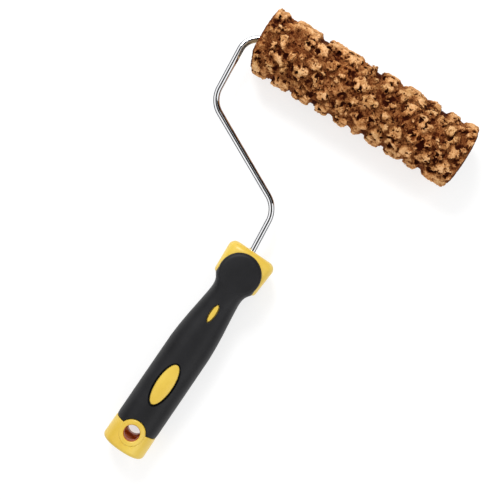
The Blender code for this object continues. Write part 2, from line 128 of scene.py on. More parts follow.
def math_node(tree, operation, first, second=None, third=None, clamp=False):
    """A Math node's result. Each operand is a socket or a number."""
    made = add_node(tree, "ShaderNodeMath", operation=operation, use_clamp=clamp)
    for socket, value in zip(made.inputs, (first, second, third)):
        feed(tree, socket, value)
    return made.outputs[0]


def hypotenuse(tree, first, second):
    squares = math_node(tree, "MULTIPLY_ADD", first, first, math_node(tree, "MULTIPLY", second, second))
    return math_node(tree, "SQRT", squares)


def axes_of(tree, vector):
    return add_node(tree, "ShaderNodeSeparateXYZ", inputs={0: vector}).outputs


def vector_of(tree, x=None, y=None, z=None):
    return add_node(tree, "ShaderNodeCombineXYZ", inputs={0: x, 1: y, 2: z}).outputs[0]


# %% Tones and fades
def tone_ramp(tree, factor, stops):
    """A colour ramp from (place, colour) stops, read at factor."""
    ramp = add_node(tree, "ShaderNodeValToRGB", inputs={0: factor})
    elements = ramp.color_ramp.elements
    elements[0].position, elements[1].position = stops[0][0], stops[-1][0]
    elements[0].color, elements[1].color = (*stops[0][1], 1), (*stops[-1][1], 1)
    for spot, colour in stops[1:-1]:
        elements.new(spot).color = (*colour, 1)
    return ramp.outputs[0]


def blend_colours(tree, factor, first, second, kind="MIX"):
    """The first colour with the second blended in by factor."""
    blend = add_node(
        tree,
        "ShaderNodeMix",
        data_type="RGBA",
        blend_type=kind,
        inputs={0: factor, 6: first, 7: second},
    )
    return blend.outputs[2]


def smooth_fade(tree, value, start, end, low=0.0, high=1.0):
    """Goes smoothly from low to high while value goes from start to end."""
    ends = {"From Min": start, "From Max": end, "To Min": low, "To Max": high}
    kind = "ShaderNodeMapRange"
    return add_node(tree, kind, interpolation_type="SMOOTHSTEP", inputs={"Value": value, **ends}).outputs[0]


def new_look(name, roughness, metallic=0.0, **constants):
    """A material with its tree, its Principled shader and Object coordinates."""
    look = bpy.data.materials.new(name)
    look.use_nodes = True
    tree = look.node_tree
    shader = tree.nodes["Principled BSDF"]
    shader.inputs["Roughness"].default_value = roughness
    shader.inputs["Metallic"].default_value = metallic
    for key, value in constants.items():
        shader.inputs[key.replace("_", " ")].default_value = value
    return look, tree, shader, add_node(tree, "ShaderNodeTexCoord").outputs["Object"]


# %% [markdown]
# ## Light and floor
#
# White light comes from all round, which leaves almost no shadow. Chrome has no colour of its own,
# so it needs something dark to mirror: the world shows dark screens to glossy rays only, and stays
# plain white for everything else. Two low screens stand on opposite sides, and a narrow high card
# stands on one side, so that the rod mirrors one of them at most turns of the camera.

# %% The dark screens
SCREEN_TOWARDS, SCREEN_HALF_TURN, SCREEN_HEIGHTS = (0.866, 0.5), math.radians(52), (0.02, 0.46)
CARD_TOWARDS, CARD_HALF_TURN, CARD_HEIGHTS = (0.502, 0.864), math.radians(16), (0.0, 0.9)
SCREEN_COLOUR = (0.012, 0.012, 0.013, 1)
LEAST_LEVEL_PART = 0.001


def dark_screens(tree, direction):
    """1 where a direction meets one of the two low screens or the high card."""
    x, y, z = direction
    level = math_node(tree, "MAXIMUM", hypotenuse(tree, x, y), LEAST_LEVEL_PART)

    def towards(aim):
        along = math_node(tree, "MULTIPLY_ADD", y, aim[1], math_node(tree, "MULTIPLY", x, aim[0]))
        return math_node(tree, "DIVIDE", along, level)

    def panel(aimed, half_turn, heights):
        within = math_node(tree, "GREATER_THAN", aimed, math.cos(half_turn))
        above = math_node(tree, "GREATER_THAN", z, heights[0])
        below = math_node(tree, "LESS_THAN", z, heights[1])
        return math_node(tree, "MULTIPLY", within, math_node(tree, "MULTIPLY", above, below))

    either_side = math_node(tree, "ABSOLUTE", towards(SCREEN_TOWARDS))
    low = panel(either_side, SCREEN_HALF_TURN, SCREEN_HEIGHTS)
    high = panel(towards(CARD_TOWARDS), CARD_HALF_TURN, CARD_HEIGHTS)
    return math_node(tree, "MAXIMUM", low, high)


# %% The world
# Each row is a height, from straight down at 0 to straight up at 1, and the light mirrored there.
MIRRORED_TONES = [
    (0.0, 0.7), (0.51, 0.7), (0.7, 0.6), (0.75, 0.9), (0.95, 1.2), (0.975, 0.05), (1.0, 0.02),
]
PLAIN_STRENGTH = 0.7


def build_world():
    world = bpy.data.worlds.new("studio")
    world.use_nodes = True
    tree = world.node_tree
    tree.nodes.clear()
    direction = axes_of(tree, add_node(tree, "ShaderNodeTexCoord").outputs["Generated"])
    height = math_node(tree, "MULTIPLY_ADD", direction["Z"], 0.5, 0.5)
    tones = tone_ramp(tree, height, [(spot, (level,) * 3) for spot, level in MIRRORED_TONES])
    shown = blend_colours(tree, dark_screens(tree, direction), tones, SCREEN_COLOUR)
    mirrored = add_node(tree, "ShaderNodeBackground", inputs={0: shown, "Strength": 1.0})
    plain = add_node(tree, "ShaderNodeBackground", inputs={0: (1, 1, 1, 1), "Strength": PLAIN_STRENGTH})
    glossy = add_node(tree, "ShaderNodeLightPath").outputs["Is Glossy Ray"]
    mix = {0: glossy, 1: plain.outputs[0], 2: mirrored.outputs[0]}
    light = add_node(tree, "ShaderNodeMixShader", inputs=mix).outputs[0]
    add_node(tree, "ShaderNodeOutputWorld", inputs={0: light})
    return world


bpy.context.scene.world = build_world()
bpy.context.scene.view_settings.view_transform = "Standard"
print("the world mirrors", len(MIRRORED_TONES), "tones, two screens and a card")


# %% Lamps and floor
def area_light(name, spot, target, size, power):
    data = bpy.data.lights.new(name, "AREA")
    data.size = size
    data.energy = power
    light = bpy.data.objects.new(name, data)
    aim = (Vector(target) - Vector(spot)).to_track_quat("-Z", "Y")
    light.matrix_world = Matrix.Translation(spot) @ aim.to_matrix().to_4x4()
    bpy.context.scene.collection.objects.link(light)


area_light("key", (-0.45, 0.5, 0.8), (0, 0.05, 0), 0.35, 6)
area_light("fill", (0.7, -0.4, 0.6), (0, 0, 0), 0.6, 1.5)

FLOOR_REACH = 4
FLOOR_TONE, FLOOR_GLOW = 0.4, 0.66

floor_look = new_look(
    "pale_floor",
    0.9,
    Base_Color=(FLOOR_TONE, FLOOR_TONE, FLOOR_TONE, 1),
    Specular_IOR_Level=0.1,
    Emission_Color=(1, 1, 1, 1),
    Emission_Strength=FLOOR_GLOW,
)[0]
floor_corners = [(-1, -1), (1, -1), (1, 1), (-1, 1)]
floor_mesh = bpy.data.meshes.new("floor")
floor_mesh.from_pydata([(x * FLOOR_REACH, y * FLOOR_REACH, 0) for x, y in floor_corners], [], [(0, 1, 2, 3)])
floor_mesh.materials.append(floor_look)
floor = bpy.data.objects.new("floor", floor_mesh)
bpy.context.scene.collection.objects.link(floor)
print("the floor is", 2 * FLOOR_REACH, "m wide and glows at", FLOOR_GLOW)

# %% [markdown]
# ## Helpers for meshes
#
# Most pieces of this tool are either turned (washers, caps, bushes, the tube) or lofted (the
# handle, whose section changes from an oval to a squarer shape along its length). Both are grids of
# points, so both come from one function that joins a grid of rings into faces.

# %% Rings to a closed mesh
def ring_angles(sides):
    return np.arange(sides) * 2 * math.pi / sides


def ring(x, y, z):
    """Points from three coordinates, each a number or an array with one value for each point."""
    return np.stack(np.broadcast_arrays(x, y, z), axis=1)


def skin_rings(name, rings, loop=False):
    """Joins rings of equal length into one closed mesh. Without loop, the two ends are capped."""
    rings = np.asarray(rings, dtype=float)
    sides = rings.shape[1]
    shape = bmesh.new()
    verts = [[shape.verts.new(point) for point in points] for points in rings]
    pairs = list(zip(verts, verts[1:]))
    if loop:
        pairs.append((verts[-1], verts[0]))
    for lower, upper in pairs:
        for i in range(sides):
            j = (i + 1) % sides
            shape.faces.new((lower[i], lower[j], upper[j], upper[i]))
    if not loop:
        for rim, order in ((verts[0], -1), (verts[-1], 1)):
            pole = shape.verts.new(sum((v.co for v in rim), Vector()) / sides)
            for i in range(sides):
                j = (i + 1) % sides
                shape.faces.new((rim[i], rim[j], pole)[::order])
    bmesh.ops.recalc_face_normals(shape, faces=shape.faces)
    if shape.calc_volume(signed=True) < 0:
        bmesh.ops.reverse_faces(shape, faces=shape.faces)
    mesh = bpy.data.meshes.new(name)
    shape.to_mesh(mesh)
    shape.free()
    return mesh


def turned(name, profile, sides=96, closed=True):
    """Turns a profile of (radius, x) in mm round the spin axis."""
    angles = ring_angles(sides)
    rings = [ring(x, r * np.cos(angles), r * np.sin(angles)) * MM for r, x in profile]
    return skin_rings(name, rings, loop=closed)


def rounded(profile, size, steps=4):
    """The same closed profile with each corner rounded to size mm."""
    points = [Vector(p) for p in profile]
    smooth = []
    for before, corner, after in zip(points[-1:] + points[:-1], points, points[1:] + points[:1]):
        cut_in = min(size, (before - corner).length * 0.45, (after - corner).length * 0.45)
        start = corner + (before - corner).normalized() * cut_in
        end = corner + (after - corner).normalized() * cut_in
        for i in range(steps + 1):
            t = i / steps
            smooth.append(start * (1 - t) ** 2 + corner * 2 * t * (1 - t) + end * t * t)
    return [tuple(p) for p in smooth]


# %% Solid operations
def combine(name, base, steps):
    """Adds to or cuts from a mesh. steps is a list of (UNION or DIFFERENCE, mesh)."""
    scene = bpy.context.scene.collection
    body = bpy.data.objects.new(name, base)
    scene.objects.link(body)
    helpers = []
    for operation, mesh in steps:
        helper = bpy.data.objects.new(mesh.name, mesh)
        scene.objects.link(helper)
        helpers.append(helper)
        modifier = body.modifiers.new(mesh.name, "BOOLEAN")
        modifier.operation = operation
        modifier.solver = "EXACT"
        modifier.object = helper
    graph = bpy.context.evaluated_depsgraph_get()
    made = bpy.data.meshes.new_from_object(body.evaluated_get(graph))
    for used in [body, *helpers]:
        bpy.data.objects.remove(used, do_unlink=True)
    made.name = name
    return made


# %% Placing a finished piece
SHARP = math.radians(32)


def place(name, mesh, frame_matrix, look, body, nodes, sharp=SHARP):
    """Moves a mesh from its frame to the world, hangs it on its body and hides the imported nodes it stands
    for.
    """
    mesh.transform(frame_matrix)
    mesh.shade_smooth()
    if sharp:
        mesh.set_sharp_from_angle(angle=sharp)
    mesh.materials.clear()
    mesh.materials.append(look)
    piece = bpy.data.objects.new(name, mesh)
    bpy.context.scene.collection.objects.link(piece)
    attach(piece, body)
    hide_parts(*nodes)
    mesh.calc_loop_triangles()
    print(name, "has", len(mesh.loop_triangles), "triangles")
    return piece


# %% [markdown]
# ## Effects that several finishes share
#
# Two effects turn up on nearly every part. Moulded and rolled surfaces have a fine grain over slow
# clouds of tone, and used surfaces have scuffs that run one way. Each is a node group, built once
# and placed in each finish with its own sizes.

# %% Opening a tree with named inputs
FLOAT, COUNT, VECTOR = "NodeSocketFloat", "NodeSocketInt", "NodeSocketVector"
GEOMETRY, MATERIAL = "NodeSocketGeometry", "NodeSocketMaterial"


def open_tree(name, kind, inputs, outputs):
    """A tree with (label, kind, value) inputs. Returns it, its ids, its inputs and its outputs."""
    tree = bpy.data.node_groups.new(name, kind)
    ids = {}
    for label, socket_kind, value in inputs:
        socket = tree.interface.new_socket(label, in_out="INPUT", socket_type=socket_kind)
        feed(tree, socket, value)
        ids[label] = socket.identifier
    for label, socket_kind in outputs:
        tree.interface.new_socket(label, in_out="OUTPUT", socket_type=socket_kind)
    given, result = tree.nodes.new("NodeGroupInput"), tree.nodes.new("NodeGroupOutput")
    return tree, ids, given.outputs, result.inputs


def noise(tree, vector, scale, detail, roughness=0.5):
    """A noise's Fac and Color, with scale waves in each unit of the vector."""
    settings = {"Vector": vector, "Scale": scale, "Detail": detail, "Roughness": roughness}
    return add_node(tree, "ShaderNodeTexNoise", inputs=settings).outputs


# %% The grain group
SPECK_RATE, SPECK_REACH = 0.35, 0.12


def build_grain():
    inputs = [
        ("Vector", VECTOR, None),
        ("Grain per metre", FLOAT, 2500.0),
        ("Clouds per metre", FLOAT, 60.0),
    ]
    outputs = [("Grain", FLOAT), ("Clouds", FLOAT), ("Specks", FLOAT)]
    group, _, given, result = open_tree("grain", "ShaderNodeTree", inputs, outputs)
    spot = given["Vector"]
    feed(group, result["Grain"], noise(group, spot, given["Grain per metre"], 3.0, 0.6)["Fac"])
    feed(group, result["Clouds"], noise(group, spot, given["Clouds per metre"], 4.0, 0.55)["Fac"])
    rate = math_node(group, "MULTIPLY", given["Grain per metre"], SPECK_RATE)
    cells = add_node(group, "ShaderNodeTexVoronoi", feature="F1", inputs={"Vector": spot, "Scale": rate})
    dots = math_node(group, "LESS_THAN", cells.outputs["Distance"], SPECK_REACH)
    feed(group, result["Specks"], dots)
    return group


GRAIN = build_grain()
print("grain group has", len(GRAIN.nodes), "nodes")

# %% The scuff group
SCUFF_LEVEL, SCUFF_SHARPNESS, WIPE_RATE = 0.62, 9.0, 90.0


def build_scuffs():
    inputs = [("Vector", VECTOR, None), ("Stretch", VECTOR, (60.0, 2500.0, 2500.0))]
    outputs = [("Scuffs", FLOAT), ("Wipes", FLOAT)]
    group, _, given, result = open_tree("scuffs", "ShaderNodeTree", inputs, outputs)
    both = {0: given["Vector"], 1: given["Stretch"]}
    stretched = add_node(group, "ShaderNodeVectorMath", operation="MULTIPLY", inputs=both).outputs[0]
    line = math_node(group, "SUBTRACT", noise(group, stretched, 1.0, 2.0)["Fac"], SCUFF_LEVEL)
    feed(group, result["Scuffs"], math_node(group, "MULTIPLY", line, SCUFF_SHARPNESS, clamp=True))
    feed(group, result["Wipes"], noise(group, given["Vector"], WIPE_RATE, 3.0)["Fac"])
    return group


SCUFFS = build_scuffs()
print("scuff group has", len(SCUFFS.nodes), "nodes")


# %% Using a group, and driving a shader
def use_group(tree, group, coords, **values):
    """A shared effect placed in a finish. Returns its outputs."""
    made = add_node(tree, "ShaderNodeGroup", node_tree=group, inputs={"Vector": coords})
    for key, value in values.items():
        made.inputs[key.replace("_", " ")].default_value = value
    return made.outputs


def clouded(tree, grain, dark, light):
    """A colour that drifts between two tones with the grain group's clouds."""
    return tone_ramp(tree, grain["Clouds"], [(0.3, dark), (0.7, light)])


def drive(tree, shader, colour, roughness, height, distance, strength=1.0):
    """Gives a shader its colour, its roughness and a relief of distance metres."""
    relief = {"Strength": strength, "Distance": distance, "Height": height}
    normal = add_node(tree, "ShaderNodeBump", inputs=relief).outputs[0]
    for label, value in (("Base Color", colour), ("Roughness", roughness), ("Normal", normal)):
        feed(tree, shader.inputs[label], value)


# %% [markdown]
# ## Finishes of the metal parts
#
# Chrome plate is a perfect mirror with faint wiping marks. The small washers, the push nut and the
# spring wires are plain bright steel, which is duller and greyer, with a grain that follows how
# they were stamped or drawn.

# %% Chrome and bright steel
def metal_look(name, tones, roughness_range, stretch, relief):
    low, high = roughness_range
    look, tree, shader, coords = new_look(name, low, metallic=1.0)
    marks = use_group(tree, SCUFFS, coords, Stretch=stretch)
    grain = use_group(tree, GRAIN, coords, Grain_per_metre=1800.0, Clouds_per_metre=45.0)
    colour = clouded(tree, grain, *tones)
    worn = math_node(tree, "MULTIPLY_ADD", marks["Scuffs"], high - low, low)
    smeared = math_node(tree, "MULTIPLY_ADD", marks["Wipes"], (high - low) / 2, worn)
    drive(tree, shader, colour, smeared, marks["Scuffs"], relief)
    return look


CHROME = metal_look(
    "chrome_plate", ((0.80, 0.81, 0.83), (0.9, 0.9, 0.91)), (0.035, 0.16), (90, 90, 3000), 2e-6
)
STEEL = metal_look(
    "bright_steel", ((0.5, 0.51, 0.53), (0.68, 0.68, 0.69)), (0.24, 0.5), (60, 2400, 2400), 8e-6
)
print("metals:", CHROME.name, STEEL.name)

# %% [markdown]
# ## Finishes of the plastics
#
# The core is a yellow polypropylene straight from a polished mould, so it has a soft gloss and very
# little grain. The grip is a soft elastomer, which takes the mould's matte texture and picks up
# dust. The bushes are nylon, which looks milky, and the caps are a plain dark grey.

# %% A moulded plastic
SCUFFED, UNEVEN = 0.12, 0.1


def plastic_look(name, tones, roughness, grain_size, relief, dust=0.0, **constants):
    """tones are the dark and light of the plastic, and the dust's colour."""
    look, tree, shader, coords = new_look(name, roughness, **constants)
    grain = use_group(tree, GRAIN, coords, Grain_per_metre=grain_size, Clouds_per_metre=40.0)
    marks = use_group(tree, SCUFFS, coords, Stretch=(1400.0, 110.0, 1400.0))
    clean = clouded(tree, grain, *tones[:2])
    share = math_node(tree, "MULTIPLY", grain["Specks"], dust)
    colour = blend_colours(tree, share, clean, (*tones[2], 1))
    rubbed = math_node(tree, "MULTIPLY_ADD", marks["Scuffs"], SCUFFED, roughness)
    uneven = math_node(tree, "MULTIPLY_ADD", grain["Clouds"], UNEVEN, rubbed)
    drive(tree, shader, colour, uneven, grain["Grain"], relief)
    return look


YELLOW = plastic_look(
    "yellow_polypropylene",
    ((0.71, 0.465, 0.05), (0.79, 0.565, 0.08), (0.6, 0.36, 0.05)),
    0.3, 3500.0, 6e-6, dust=0.15, Specular_IOR_Level=0.5,
)
GRIP = plastic_look(
    "black_elastomer",
    ((0.008, 0.008, 0.009), (0.014, 0.014, 0.016), (0.05, 0.048, 0.046)),
    0.44, 2600.0, 2.2e-5, dust=0.4, Specular_IOR_Level=0.22,
)
NYLON = plastic_look(
    "white_nylon",
    ((0.74, 0.74, 0.70), (0.82, 0.82, 0.78), (0.6, 0.6, 0.56)),
    0.38, 3000.0, 8e-6, dust=0.2,
)
CAP_GREY = plastic_look(
    "grey_cap_plastic",
    ((0.075, 0.075, 0.08), (0.12, 0.12, 0.128), (0.2, 0.2, 0.2)),
    0.4, 2800.0, 1.4e-5, dust=0.3,
)
print("plastics:", YELLOW.name, GRIP.name, NYLON.name, CAP_GREY.name)

# %% [markdown]
# ## The bent rod
#
# The real rod is one length of 6 mm wire, bent on a jig and then plated. A tube swept along a path
# is what it is, so the path is drawn as straight runs and round bends, and Geometry Nodes sweep a
# circle along it. The circle has 48 sides, because a mirror shows every facet.

# %% The rod's path
ROD_RADIUS = 3.0
ROD_FREE_END_X = 86.5
ROD_CORNERS = [(-99.2, 0, 15), (-96.1, -59.9, 19.5), (-13.6, -104.7, 20)]
ROD_KINK_H, ROD_KINK_RADIUS, ROD_ANCHOR_H = 143.6, 30, 94
BEND_STEPS = 28

to_tool = TOOL.inverted() @ HANDLE


def handle_axis_point(height):
    """A point on the handle's axis, in the tool frame and in mm."""
    return (to_tool @ Vector((0, height * MM, 0))) / MM


def bend(before, corner, after, radius):
    """The points of a round bend at one corner."""
    back, ahead = (before - corner).normalized(), (after - corner).normalized()
    half = back.angle(ahead) / 2
    centre = corner + (back + ahead).normalized() * radius / math.sin(half)
    start = corner + back * radius / math.tan(half) - centre
    end = corner + ahead * radius / math.tan(half) - centre
    return [centre + radius * start.slerp(end, i / BEND_STEPS) for i in range(BEND_STEPS + 1)]


def rod_path():
    corners = [(Vector((x, y, 0)), radius) for x, y, radius in ROD_CORNERS]
    corners.append((handle_axis_point(ROD_KINK_H), ROD_KINK_RADIUS))
    stops = [Vector((ROD_FREE_END_X, 0, 0)), *(c for c, _ in corners), handle_axis_point(ROD_ANCHOR_H)]
    points = [stops[0]]
    for i, (corner, radius) in enumerate(corners):
        points += bend(stops[i], corner, stops[i + 2], radius)
    return points + [stops[-1]]


ROD_PATH = rod_path()
length = sum((b - a).length for a, b in zip(ROD_PATH, ROD_PATH[1:]))
print("rod is", round(length), "mm long")


# %% Shape trees
def new_shape_tree(name, inputs):
    """A Geometry Nodes tree that takes a geometry, the given inputs and a material."""
    inputs = [("Geometry", GEOMETRY, None), *inputs, ("Material", MATERIAL, None)]
    return open_tree(name, "GeometryNodeTree", inputs, [("Geometry", GEOMETRY)])


def copies_round_axis(tree, count, shape):
    """count instances of a shape, spaced evenly round the spin axis."""
    line = {"Count": count, "Offset": (0, 0, 0)}
    points = add_node(tree, "GeometryNodeMeshLine", mode="OFFSET", inputs=line).outputs[0]
    step = math_node(tree, "DIVIDE", 2 * math.pi, count)
    number = add_node(tree, "GeometryNodeInputIndex").outputs[0]
    turn = vector_of(tree, math_node(tree, "MULTIPLY", number, step))
    copies = {"Points": points, "Instance": shape, "Rotation": turn}
    return add_node(tree, "GeometryNodeInstanceOnPoints", inputs=copies).outputs[0]


def end_tree(tree, given, result, geometry):
    """Ends a tree as every shape tree here ends: instances made real, and the material set."""
    real = add_node(tree, "GeometryNodeRealizeInstances", inputs={0: geometry}).outputs[0]
    paint = {0: real, "Material": given["Material"]}
    feed(tree, result[0], add_node(tree, "GeometryNodeSetMaterial", inputs=paint).outputs[0])


def run_tree(name, base, shape_tree, values):
    """Runs a (tree, ids) pair on a mesh, with values by label, and returns a plain mesh."""
    tree, ids = shape_tree
    holder = bpy.data.objects.new(name, base)
    bpy.context.scene.collection.objects.link(holder)
    modifier = holder.modifiers.new(name, "NODES")
    modifier.node_group = tree
    for label, value in values.items():
        modifier[ids[label]] = value
    graph = bpy.context.evaluated_depsgraph_get()
    made = bpy.data.meshes.new_from_object(holder.evaluated_get(graph))
    made.name = name
    bpy.data.objects.remove(holder, do_unlink=True)
    return made


# %% A tree that sweeps a circle along a path
def build_sweep():
    inputs = [("Radius", FLOAT, 0.003), ("Sides", COUNT, 48), ("Copies", COUNT, 1)]
    tree, ids, given, result = new_shape_tree("sweep", inputs)
    line = add_node(tree, "GeometryNodeMeshToCurve", inputs={0: given["Geometry"]}).outputs[0]
    name = {"Name": "thickness"}
    share = add_node(tree, "GeometryNodeInputNamedAttribute", data_type="FLOAT", inputs=name)
    sizes = {"Curve": line, "Radius": share.outputs["Attribute"]}
    sized = add_node(tree, "GeometryNodeSetCurveRadius", inputs=sizes).outputs[0]
    circle = {"Resolution": given["Sides"], "Radius": given["Radius"]}
    circle = add_node(tree, "GeometryNodeCurvePrimitiveCircle", inputs=circle).outputs[0]
    sweep = {"Curve": sized, "Profile Curve": circle, "Fill Caps": True}
    sweep = add_node(tree, "GeometryNodeCurveToMesh", inputs=sweep).outputs[0]
    end_tree(tree, given, result, copies_round_axis(tree, given["Copies"], sweep))
    return tree, ids


SWEEP = build_sweep()


def path_mesh(name, points, thickness=None):
    """A chain of edges in metres. thickness is each point's share of the full radius."""
    mesh = bpy.data.meshes.new(name)
    edges = [(i, i + 1) for i in range(len(points) - 1)]
    mesh.from_pydata([Vector(p) * MM for p in points], edges, [])
    share = mesh.attributes.new("thickness", "FLOAT", "POINT")
    share.data.foreach_set("value", thickness or [1.0] * len(points))
    return mesh


def swept(name, points, radius, look, sides=48, copies=1, thickness=None):
    """Sweeps a circle of radius mm along points, with copies spaced round the spin axis."""
    values = {"Radius": radius * MM, "Sides": sides, "Copies": copies, "Material": look}
    mesh = run_tree(name, path_mesh(name, points, thickness), SWEEP, values)
    shape = bmesh.new()
    shape.from_mesh(mesh)
    bmesh.ops.remove_doubles(shape, verts=shape.verts, dist=1e-7)
    bmesh.ops.recalc_face_normals(shape, faces=shape.faces)
    shape.to_mesh(mesh)
    shape.free()
    return mesh


# %% The rod, with its turned tip
# Each row is a distance back from the tip in mm, and the share of the full radius there.
ROD_TIP = [(0.0, 0.80), (0.35, 0.90), (0.9, 1.0), (3.0, 1.0), (3.2, 0.93), (4.6, 0.93), (4.8, 1.0)]

tip_points = [Vector((ROD_FREE_END_X - back, 0, 0)) for back, _ in ROD_TIP]
rod_shares = [share for _, share in ROD_TIP] + [1.0] * (len(ROD_PATH) - 1)
rod_mesh = swept("rod", tip_points + ROD_PATH[1:], ROD_RADIUS, CHROME, thickness=rod_shares)
place("rod", rod_mesh, TOOL, CHROME, "handle", ["wire_frame_rod"])

# %% [markdown]
# ## The sponge cover
#
# The cover is natural sea sponge, trimmed and bonded round a tube. A sponge is a solid full of
# channels that branch and open at its skin, so a surface pushed in and out can't show it: the walls
# of a channel fold back under themselves. Here it is made as a solid instead. A field says how far
# each point of a box is inside the sponge, and Geometry Nodes fill a volume with it and turn the
# zero level into a mesh. All of the field's lengths are in mm.

# %% Field helpers
SPONGE_RADIUS, SPONGE_BACK_RADIUS, SPONGE_HALF = 27.0, 21.3, 89.0


def vector_math(tree, operation, first, second):
    both = {0: first, 1: second}
    return add_node(tree, "ShaderNodeVectorMath", operation=operation, inputs=both).outputs[0]


def scaled(tree, vector, factor):
    both = {0: vector, "Scale": factor}
    return add_node(tree, "ShaderNodeVectorMath", operation="SCALE", inputs=both).outputs[0]


def smooth_min(tree, first, second, reach):
    """The smaller of two fields, with the corner between them rounded over reach."""
    return math_node(tree, "SMOOTH_MIN", first, second, reach)


# %% Where a point lies
SQUEEZE_RADIUS, SQUEEZE = 25, 0.6
LEAST_RADIUS = 0.5
BROAD_WARP, FINE_WARP = 9.0, 3.0
BROAD_SCALE, FINE_SCALE = 0.22, 0.75
HALF_GREY = (0.5, 0.5, 0.5)


def field_point(tree):
    """A point's place and axes in mm, its distance from the spin axis, and two noises there."""
    place_mm = scaled(tree, add_node(tree, "GeometryNodeInputPosition").outputs[0], 1 / MM)
    axes = axes_of(tree, place_mm)
    r = math_node(tree, "MAXIMUM", hypotenuse(tree, axes["Z"], axes["Y"]), LEAST_RADIUS)
    broad, fine = noise(tree, place_mm, BROAD_SCALE, 3.0), noise(tree, place_mm, FINE_SCALE, 2.0)
    return place_mm, axes, r, broad, fine


def warped_point(tree, axes, r, broad, fine):
    """The point squeezed towards a middle radius, so that a round cell becomes a deep channel, and
    then pushed about by both noises, so that no cell stays round."""
    x, y, z = axes
    beyond = math_node(tree, "SUBTRACT", r, SQUEEZE_RADIUS)
    squeezed = math_node(tree, "MULTIPLY_ADD", beyond, SQUEEZE, SQUEEZE_RADIUS)
    squeeze = math_node(tree, "DIVIDE", squeezed, r)
    moved = vector_of(
        tree, x, math_node(tree, "MULTIPLY", y, squeeze), math_node(tree, "MULTIPLY", z, squeeze)
    )
    for part, reach in ((broad, BROAD_WARP), (fine, FINE_WARP)):
        centred = vector_math(tree, "SUBTRACT", part["Color"], HALF_GREY)
        moved = vector_math(tree, "ADD", moved, scaled(tree, centred, reach))
    return moved


# %% [markdown]
# ### The skin
#
# The skin is the full radius less a drop. Slow lumps and the valleys between lobes give the drop
# its form, and a fine noise roughens it. A sponge is also torn at its edge, and that shows most in
# the outline: notches cut into the two sides that the outline runs along. They wander a little,
# so that they don't run straight round. The lumps are calmed there, to let the notches show.

# %% Notches in the outline
# Each notch is (x, depth). Its shape has (share of the half width, share of the depth) points.
LOWER_NOTCHES = [
    (-68, 3.5), (-50, 3), (-31, 5), (-14.5, 4), (2, 3), (13.5, 4), (31, 3.5), (48.5, 3), (64, 4.5),
]
UPPER_NOTCHES = [
    (-74, 2.5), (-46, 5), (-10, 1.5), (1, 5), (21, 2.5), (42, 1.5), (57.5, 5), (73, 3),
]
NOTCH_SHAPE = ((-1.0, 0.0), (-0.5, 0.8), (0.0, 1.0), (0.5, 0.8), (1.0, 0.0))
LOWER_HALF_WIDTH, UPPER_HALF_WIDTH, DEEPEST = 5.0, 6.0, 5.0
NOTCH_WANDER = 9.0
SIGHT_TILT = math.radians(11)
FACING_START, FACING_END = 0.72, 0.88


def notch_depth(tree, share, notches, half_width):
    """How deep the notches are, at a share of the cover's length."""
    dips = add_node(tree, "ShaderNodeFloatCurve", inputs={"Value": share})
    curve = dips.mapping.curves[0]
    for spot, drop in notches:
        middle = (spot + SPONGE_HALF) / (2 * SPONGE_HALF)
        reach = half_width / (2 * SPONGE_HALF)
        for side, level in NOTCH_SHAPE:
            curve.points.new(middle + side * reach, level * drop / DEEPEST)
    curve.points[0].location = (0.0, 0.0)
    last = max(range(len(curve.points)), key=lambda i: curve.points[i].location.x)
    curve.points[last].location = (1.0, 0.0)
    dips.mapping.update()
    return math_node(tree, "MULTIPLY", dips.outputs[0], DEEPEST)


def facing(tree, axes, r, turn):
    """1 where the cover faces the direction turn round its axis, fading to 0."""
    across = math_node(tree, "DIVIDE", axes["Y"], r)
    up = math_node(tree, "DIVIDE", axes["Z"], r)
    part = math_node(tree, "MULTIPLY", across, math.cos(turn))
    facing_cos = math_node(tree, "MULTIPLY_ADD", up, math.sin(turn), part)
    return smooth_fade(tree, facing_cos, FACING_START, FACING_END)


def notches_at(tree, axes, r, broad):
    """The notches' depth, and how far a point is on one of the two notched sides."""
    wander = math_node(tree, "MULTIPLY_ADD", broad["Fac"], NOTCH_WANDER, -NOTCH_WANDER / 2)
    share = math_node(tree, "ADD", wander, axes["X"])
    share = math_node(tree, "MULTIPLY_ADD", share, 0.5 / SPONGE_HALF, 0.5)
    low_face = facing(tree, axes, r, math.pi + SIGHT_TILT)
    high_face = facing(tree, axes, r, SIGHT_TILT)
    low = notch_depth(tree, share, LOWER_NOTCHES, LOWER_HALF_WIDTH)
    high = notch_depth(tree, share, UPPER_NOTCHES, UPPER_HALF_WIDTH)
    low = math_node(tree, "MULTIPLY", low, low_face)
    depth = math_node(tree, "MULTIPLY_ADD", high, high_face, low)
    return depth, math_node(tree, "ADD", low_face, high_face)


# %% The skin's drop
LUMP_SCALE, LUMP_LEVEL, LUMP_HEIGHT = 0.11, 0.42, 7.0
LOBE_CELL, VALLEY_REACH, VALLEY_DEPTH = 11.5, 0.2, 3.2
CALM = 0.75
ROUGHNESS, ROUGH_LEVEL, LEAST_DROP = 3.4, 1.2, 0.05


